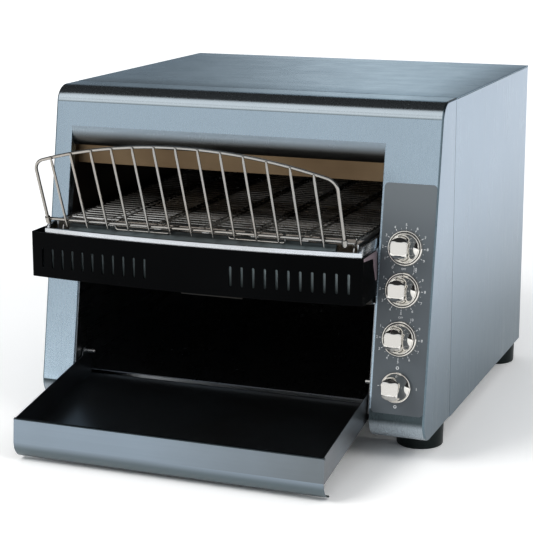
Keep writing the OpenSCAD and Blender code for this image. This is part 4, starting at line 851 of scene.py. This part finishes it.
def wire_belt():
    """Strand: edge curl, straight runs and jogs 9 mm wide that reach back 1.16 pitches, over then under."""
    curl = ((3.5, -1.17, 0.8), (1.0, -1.17, -0.6), (0.6, -0.6, 1.2), (1.2, 0, 0.2))
    half_jog = ((-4.5, 0, 0.0), (-4.5, -0.85, 1.3), (-4.5, -1.16, 0.6))
    jog = half_jog + tuple((-x, s, out) for x, s, out in half_jog[::-1])
    strand = [(BELT_L + x, s, out) for x, s, out in curl]
    for middle in np.linspace(BELT_L, BELT_R, 7)[1:-1]:
        strand += [(middle + x, s, out) for x, s, out in jog]
    strand += [(BELT_R - x, s, out) for x, s, out in curl[::-1]]
    runs = []
    for k in range(2 * (LINKS + TURN_LINKS)):
        path = [(x, *loop_point(k + s, out - 0.25)) for x, s, out in strand]
        runs.append((eased(path, 1.6, 3), 1.0))
    finish_piece(wires("belt_strands", runs, 6), BELT_WIRE, ("wire_belt",))


# Painted shade darkens the belt towards the back, between y -170 and y -60; its broad patches are stains.
BELT_WIRE = surface(
    "belt_wire", (0.74, 0.73, 0.70), (60, 60, 60), 0.5, 0.6, 0.26, 0.3, 0.05, (0.030, 0.024, 0.018), 0.25,
    painted_light=("Y", -170, -60, 0.9))
wire_belt()

# ------------ feed rack
# Bent and welded round wire: a hoop 4 mm thick with a long flat arch, a cross wire, thirteen
# uprights in front of both, and two shallow loops below. It leans 20.9 degrees forwards.

RACK_X, RACK_Y, RACK_Z, TILT = -27.4, -146.0, 265.0, math.radians(20.9)
RACK_HALF, RACK_H, ARCH_R, ELBOW_R, RACK_PITCH = 187.5, 110.0, 591.0, 16.0, 27.1


def on_rack(flat):
    """Rack plane to seam frame: (x, v, w) -> (x, y - v sin t - w cos t, z + v cos t - w sin t)."""
    x, v, w = np.asarray(flat, float).T
    return np.stack([RACK_X + x, RACK_Y - v * math.sin(TILT) - w * math.cos(TILT),
                     RACK_Z + v * math.cos(TILT) - w * math.sin(TILT)], 1)


def domed(start, end, radius):
    """A straight wire whose two ends are rounded off over the last radius of its length."""
    start, end = np.array(start, float), np.array(end, float)
    d = radius * unit(end - start)
    along, width = np.array([(0.0, 0.35), (0.25, 0.75), (0.6, 0.96), (1.0, 1.0)]).T
    path = np.vstack([start + d * along[:, None], end - d * along[::-1, None]])
    return on_rack(path), radius * np.concatenate([width, width[::-1]])


def feed_rack():
    """Hoop of legs, 16 mm elbows and a 591 mm arch; then cross wire, uprights, loops and foot pegs."""
    centre = RACK_H - ARCH_R
    inner = ARCH_R - ELBOW_R
    elbow_x = RACK_HALF - ELBOW_R
    elbow_v = centre + math.sqrt(inner ** 2 - elbow_x ** 2)
    lean = math.degrees(math.asin(elbow_x / inner))
    left = arc(-elbow_x, elbow_v, ELBOW_R, 180, 90 + lean, 9)
    left = np.vstack([[[-RACK_HALF, -5], [-RACK_HALF, 15]], left])
    arch = arc(0, centre, ARCH_R, 90 + lean, 90 - lean, 40)[1:-1]
    hoop = np.vstack([left, arch, (left * [-1, 1])[::-1]])
    runs = [(on_rack(np.column_stack([hoop, np.zeros(len(hoop))])), 2.0)]
    runs.append(domed((-RACK_HALF - 3.2, 0, -2.6), (RACK_HALF + 3.2, 0, -2.6), 1.9))
    for i in range(13):
        x = (i - 6) * RACK_PITCH
        top = centre + math.sqrt(ARCH_R ** 2 - x * x)
        path = eased([(x, -7, 0.9), (x, 4, 1.1), (x, top - 6, 2.9), (x, top + 1.9, 3.0)], 6, 4)
        runs.append((on_rack(path), np.concatenate([[1.0], np.full(len(path) - 2, 1.6), [0.9]])))
    h, low, back = 1.3 * RACK_PITCH, -10, -5.6
    for x in (-2.45 * RACK_PITCH, 2.9 * RACK_PITCH):
        path = eased([(x - h, 2, back), (x - h, low, back), (x + h, low, back), (x + h, 2, back)], 3.5, 5)
        runs.append((on_rack(path), 1.6))
    for x in (-RACK_HALF, RACK_HALF):
        runs.append((on_rack([(x, -3.2, 0), (x, 4.0, 0)]), 3.3))
    finish_piece(wires("rack_wires", runs, 12), RACK_WIRE, ("feed_rack",), body="feed_rack")


RACK_WIRE = surface(
    "rack_wire", (0.36, 0.355, 0.34), (200, 200, 200), 0.2, 0.3, 0.16, 0.12, 0.03, (0.34, 0.27, 0.20), 0.4)
feed_rack()

# ------------ control label, dials and knobs
# A grey printed plate with 5 mm corners carries four dials. Each knob is a chromed casting: a
# rimmed foot disc, a waisted body and a grip bar across it, standing inside a chromed ring.

KNOB_X, KNOB_ZS, LABEL_X, LABEL_Z = 212.0, (249.99, 201.98, 146.67, 91.35), 214.25, 191.615


def on_face(x, z):
    """Maps (u across, v up the face, w off the face) from the face point at x and height z."""
    sin, cos = math.sin(LEAN_A), math.cos(LEAN_A)
    return lambda u, v, w: (x + u, face_y(z) + v * sin - w * cos, z + v * cos + w * sin)


def rounded_plate(w, h, r):
    """Outline of a plate w wide and h high with corners of radius r."""
    u, v = w / 2 - r, h / 2 - r
    corners = ((u, v, 0), (-u, v, 90), (-u, -v, 180), (u, -v, 270))
    return np.vstack([arc(x, y, r, a, a + 90, 7) for x, y, a in corners])


# The label lightens towards its top, from z 235 to z 325: painted light.
LABEL_GREY = surface(
    "label_grey", (0.072, 0.087, 0.100), (260, 260, 260), 0.10, 0.16, 0.34, 0.10, 0.02, (0.145, 0.165, 0.178),
    metallic=0.0, painted_light=("Z", 235, 325, 0.8))
PRINT = surface("print_white", (0.80, 0.82, 0.84), (300, 300, 300), 0.2, 0.2, 0.5, metallic=0.0)
CHROME = surface(
    "chrome", (0.74, 0.725, 0.69), (40, 40, 40), 0.03, 0.06, 0.055, 0.05, 0.01, (0.5, 0.46, 0.40), 0.15)

holes = [arc(KNOB_X - LABEL_X, (z - LABEL_Z) / math.cos(LEAN_A), 5.2, 0, 345, 24) for z in KNOB_ZS]
plate = cut_sheet("label_plate", [rounded_plate(62.5, 266.5, 5.0), *holes], 0.8,
                  lambda u, v, w: on_face(LABEL_X, LABEL_Z)(u, v, w + 0.4), ease=0.15)
finish_piece(plate, LABEL_GREY, ("control_label",))


def glyphs(text, size):
    """Outline of a short text as flat triangles, centred on the origin."""
    curve = bpy.data.curves.new("letters", "FONT")
    curve.body, curve.size, curve.align_x, curve.align_y = text, size, "CENTER", "CENTER"
    curve.resolution_u = 3
    flat = filled(curve)
    points = np.array([v.co[:2] for v in flat.vertices])
    faces = [list(f.vertices) for f in flat.polygons]
    bpy.data.meshes.remove(flat)
    return points, faces


def dial_print():
    """Ticks from 22.2 to 24.4 mm, numbers on a 26.8 mm circle, clockwise angles from the top."""
    points, faces = [], []
    proud = 0.86

    def way(angle):
        return np.array([math.sin(math.radians(angle)), math.cos(math.radians(angle))])

    def put(knob, flat, quads):
        start = len(points)
        place = on_face(KNOB_X, KNOB_ZS[knob])
        points.extend(place(u, v, proud) for u, v in flat)
        faces.extend([[start + i for i in f] for f in quads])

    def tick(knob, angle, r0=22.2, r1=24.4, half=0.3):
        d, n = way(angle), way(angle + 90)
        put(knob, [d * r0 - n * half, d * r0 + n * half, d * r1 + n * half, d * r1 - n * half], [[0, 3, 2, 1]])

    def mark(knob, angle, text, radius=26.8, size=4.4):
        flat, quads = glyphs(text, size)
        put(knob, flat + radius * way(angle), quads)

    def ring(knob, angle):
        flat = np.vstack([arc(*(22.5 * way(angle)), r, 0, 345, 24) for r in (1.15, 1.85)])
        put(knob, flat, grid_faces(2, 24, around=True)[:, ::-1].tolist())

    for n in range(11):
        tick(0, 30 * n - 150)
        mark(0, 30 * n - 150, str(n))
        if n < 10:
            tick(0, 30 * n - 135, 22.2, 23.2, 0.2)
    for knob in (1, 2):
        tick(knob, -30)
        mark(knob, 0, "OFF", 24.6, 3.2)
        for n in range(1, 11):
            tick(knob, -30 - 30 * n)
            mark(knob, -30 - 30 * n, str(n))
            tick(knob, -45 - 30 * n + (15 if n == 10 else 0), 22.2, 23.2, 0.2)
    ring(3, 0)
    ring(3, 180)
    mark(3, 90, "I", 24.0, 4.6)
    tick(3, -90, 20.5, 22.5)
    made = solid("dial_print", points, faces, smooth=False)
    for face in made.data.polygons:
        if face.normal.y > 0:
            face.flip()
    finish_piece(made, PRINT)


dial_print()


def turned(name, profile, place):
    """A turned piece: profile [radius, height] spun about w and put in place."""
    count = 64
    a = np.arange(count) * 2 * math.pi / count
    r, h = np.array(profile, float).T
    points = [place(ri * math.cos(t), ri * math.sin(t), hi) for ri, hi in zip(r, h) for t in a]
    faces = grid_faces(len(r), count, around=True).tolist()
    made = solid(name, points, faces, angle=40)
    weld(made.data, 1e-7)
    made.data.set_sharp_from_angle(angle=math.radians(40))
    return made


ring_profile = np.vstack([[[21.4, 0.8], [21.3, 1.3]], arc(19.5, 3.0, 0.75, 40, 180, 8), [[18.75, 0.8]]])
rings = [turned("ring", ring_profile, on_face(KNOB_X, z)) for z in KNOB_ZS[:3]]
finish_piece(gather("bezel_rings", rings), CHROME, ("knob_bezels",))


def knob(node_name, index):
    """Turned skirt, then loops that pass from the 16.2 mm circle to the bar's edge by 1 - (1 - t)^2.4.

    The bar is 19.5 mm wide; its ends lie on a 12.9 mm circle. Its top is flat for 14.6 mm and then
    slopes back 4.2 mm on each side: w = top - 4.2 * (|v| - 7.3) / 5.3, with the bends eased.
    """
    m, base, end, half, top, neck = 16, 16.2, 12.9, 9.75, 28.5, 5.2
    level, soft, slope, edge = 7.3, 0.5, 4.2 / 5.3, 0.7
    s = np.sort(np.concatenate([np.linspace(-1, 1, 11), [-0.62, -0.58, -0.54, 0.54, 0.58, 0.62]]))
    rim = np.vstack([np.column_stack([s[:-1], -np.ones(m)]), np.column_stack([np.ones(m), s[:-1]]),
                     np.column_stack([s[:0:-1], np.ones(m)]), np.column_stack([-np.ones(m), s[:0:-1]])])

    def bar(su, sv, inset=0.0):
        u = (half - inset) * su
        v = (np.sqrt(end * end - u * u) - inset) * sv
        past = np.abs(v) - level
        past = np.where(past > soft, past, np.where(past > -soft, (past + soft) ** 2 / (4 * soft), 0))
        return u, v, top - past * slope

    u, v, w = bar(rim[:, 0], rim[:, 1])
    angle = np.arctan2(v, u)
    skirt = ((3.0, -16.0), (3.0, 1.4), (17.5, 1.4), (18.0, 1.9), (18.0, 4.1), (17.7, 4.7), (17.1, 5.0),
             (16.6, 4.8), (base, neck))
    loops = [(c * np.cos(angle), c * np.sin(angle), np.full(len(rim), h)) for c, h in skirt]
    for t in np.linspace(0.04, 1, 22):
        f = 1 - (1 - t) ** 2.4
        c = (1 - f) * (base - 2 * t)
        loops.append((c * np.cos(angle) + f * u, c * np.sin(angle) + f * v, neck + t * (w - edge - neck)))
    bevel = ((0.08, 0.38), (0.28, 0.12), (0.65, 0.0))
    for inset, drop in bevel:
        p, q, h = bar(rim[:, 0], rim[:, 1], inset)
        loops.append((p, q, h - drop))
    loops = np.array(loops).transpose(0, 2, 1)
    su, sv = np.meshgrid(s, s, indexing="ij")
    crown = np.stack(bar(su, sv, bevel[-1][0]), 2)
    flat = np.vstack([loops.reshape(-1, 3), crown.reshape(-1, 3)])
    faces = np.vstack([grid_faces(len(loops), len(rim), around=True),
                       grid_faces(m + 1, m + 1, start=len(loops) * len(rim))])
    made = solid(node_name + "_cast", np.stack(on_face(KNOB_X, KNOB_ZS[index])(*flat.T), 1), faces)
    weld(made.data, 1e-6)
    made.data.set_sharp_from_angle(angle=math.radians(46))
    finish_piece(made, CHROME, (node_name,), body=node_name)


for index, node_name in enumerate(("speed_knob", "top_heat_knob", "bottom_heat_knob", "power_knob")):
    knob(node_name, index)

# ------------ feet
# Four black rubber feet, 57 mm across, with a slightly tapered wall and eased edges.

RUBBER = surface(
    "rubber", (0.008, 0.013, 0.013), (300, 300, 300), 0.3, 0.5, 0.40, 0.2, 0.10, metallic=0.0,
    more={"Specular IOR Level": 0.12})
profile = np.vstack([[[6, 4], [6, 0.4], [6.4, 0]], arc(26.4, 1.6, 1.6, -90, 0, 6),
                     arc(27.0, 24.2, 1.5, 0, 90, 6), [[6, 25.9]]])
feet = [turned("foot", profile, lambda u, v, w, x=x, y=y: (x + u, y + v, w))
        for y in (-28, 350.5) for x in (-218.5, 218.5)]
finish_piece(gather("rubber_feet", feet), RUBBER, ("feet",))

# ------------ inside the oven
# The parts inside keep their solid shapes. Walls, baffle and reflectors are bare sheet that heat
# has tarnished yellow to brown; the heaters are quartz tubes on a wire grid with ceramic ends.

dress("back_panel", surface(
    "back_panel_steel", (0.34, 0.40, 0.455), (1500, 1500, 14), 0.16, 0.12, 0.30, 0.10, 0.10, (0.20, 0.23, 0.25),
    0.15, grain=("X", 0.25)))
dress("base_pan motor_bracket", surface(
    "folded_steel", (0.42, 0.44, 0.46), (10, 700, 700), 0.18, 0.3, 0.34, 0.14, 0.12, (0.22, 0.21, 0.19), 0.25))
dress("inner_wall_left inner_wall_right", surface(
    "hot_wall_steel", (0.070, 0.062, 0.050), (300, 12, 300), 0.3, 0.7, 0.42, 0.2, 0.15, (0.030, 0.017, 0.008),
    0.8))
dress("entry_baffle", surface(
    "tarnished_baffle", (0.125, 0.088, 0.052), (12, 400, 400), 0.25, 0.6, 0.38, 0.2, 0.15,
    (0.035, 0.018, 0.008), 0.7))
dress("upper_reflector lower_reflector", surface(
    "reflector_sheet", (0.50, 0.44, 0.34), (10, 500, 500), 0.25, 0.6, 0.28, 0.2, 0.15, (0.18, 0.10, 0.05), 0.6))

dress("upper_heaters lower_heaters", surface(
    "quartz_tube", (0.62, 0.56, 0.50), (20, 500, 500), 0.10, 0.25, 0.12, 0.08, 0.04, (0.25, 0.20, 0.16), 0.3,
    metallic=0.0, more={"Transmission Weight": 0.35}))
dress("heater_caps", surface(
    "ceramic_cap", (0.66, 0.62, 0.55), (240, 240, 240), 0.12, 0.25, 0.62, 0.10, 0.10, (0.33, 0.24, 0.15), 0.35,
    metallic=0.0))
dress("heater_grid", surface(
    "grid_wire", (0.30, 0.26, 0.21), (90, 90, 90), 0.3, 0.6, 0.34, 0.15, 0.10, (0.08, 0.045, 0.025), 0.7))

# ------------ chute, deflector and trays
# Toast falls on a bent stainless deflector at the back and slides forward down the chute. The
# crumb tray pulls out below. Sliding wear and crumb scorch show as brown marks along the run.

dress("toast_chute rear_deflector", surface(
    "chute_steel", (0.27, 0.29, 0.31), (700, 12, 700), 0.22, 0.35, 0.30, 0.18, 0.15, (0.12, 0.085, 0.055),
    0.35))
# The crumb tray's front is near black as painted shade under the guard; its faint brown patches are stains.
dress("crumb_tray", surface(
    "crumb_tray_painted_shade", (0.020, 0.020, 0.019), (12, 600, 600), 0.22, 0.5, 0.36, 0.2, 0.15,
    (0.012, 0.008, 0.005), 0.6))

# ------------ conveyor drive
# Ground steel shafts turn in bronze bearings. Sprockets and the roller chain are dark oiled steel;
# the gearmotor has a zinc-plated gear case. The belt's rails are folded from bright sheet.

dress("drive_shaft idler_shaft tray_pins", surface(
    "ground_shaft", (0.56, 0.56, 0.55), (900, 60, 60), 0.12, 0.2, 0.20, 0.12, 0.06, (0.25, 0.20, 0.15), 0.3))
dress("drive_bearings idler_bushes", surface(
    "bearing_bronze", (0.46, 0.31, 0.15), (200, 200, 200), 0.14, 0.3, 0.34, 0.15, 0.10, (0.16, 0.10, 0.05),
    0.4))
dress("drive_sprockets idler_sprockets chain_sprocket motor_sprocket drive_chain chain_guide", surface(
    "oiled_steel", (0.105, 0.100, 0.092), (160, 160, 160), 0.25, 0.5, 0.32, 0.2, 0.15, (0.040, 0.030, 0.022),
    0.5))
dress("gearmotor panel_screws foot_bolts", surface(
    "zinc_plate", (0.52, 0.54, 0.55), (120, 120, 120), 0.14, 0.35, 0.38, 0.16, 0.12, (0.34, 0.35, 0.34), 0.4))
dress("conveyor_rail_left conveyor_rail_right guard_bracket_left guard_bracket_right", surface(
    "rail_steel", (0.50, 0.52, 0.54), (600, 10, 600), 0.18, 0.35, 0.30, 0.15, 0.12, (0.20, 0.16, 0.11), 0.35))

# ------------ electrics
# Moulded controls sit behind the label, the fan and its wire guard behind the back panel, and the
# cord gland below them. Mouldings are satin black or ivory with a fine sparkle in the surface.

dress("speed_control top_heat_switch bottom_heat_switch power_switch fan_frame fan_rotor cord_gland", surface(
    "black_moulding", (0.014, 0.015, 0.016), (500, 500, 500), 0.3, 0.3, 0.46, 0.12, 0.20, (0.035, 0.034, 0.032),
    0.3, metallic=0.0))
dress("terminal_block", surface(
    "ivory_moulding", (0.62, 0.57, 0.44), (500, 500, 500), 0.12, 0.2, 0.44, 0.12, 0.15, (0.45, 0.36, 0.22), 0.4,
    metallic=0.0))
dress("fan_guard", CHROME)
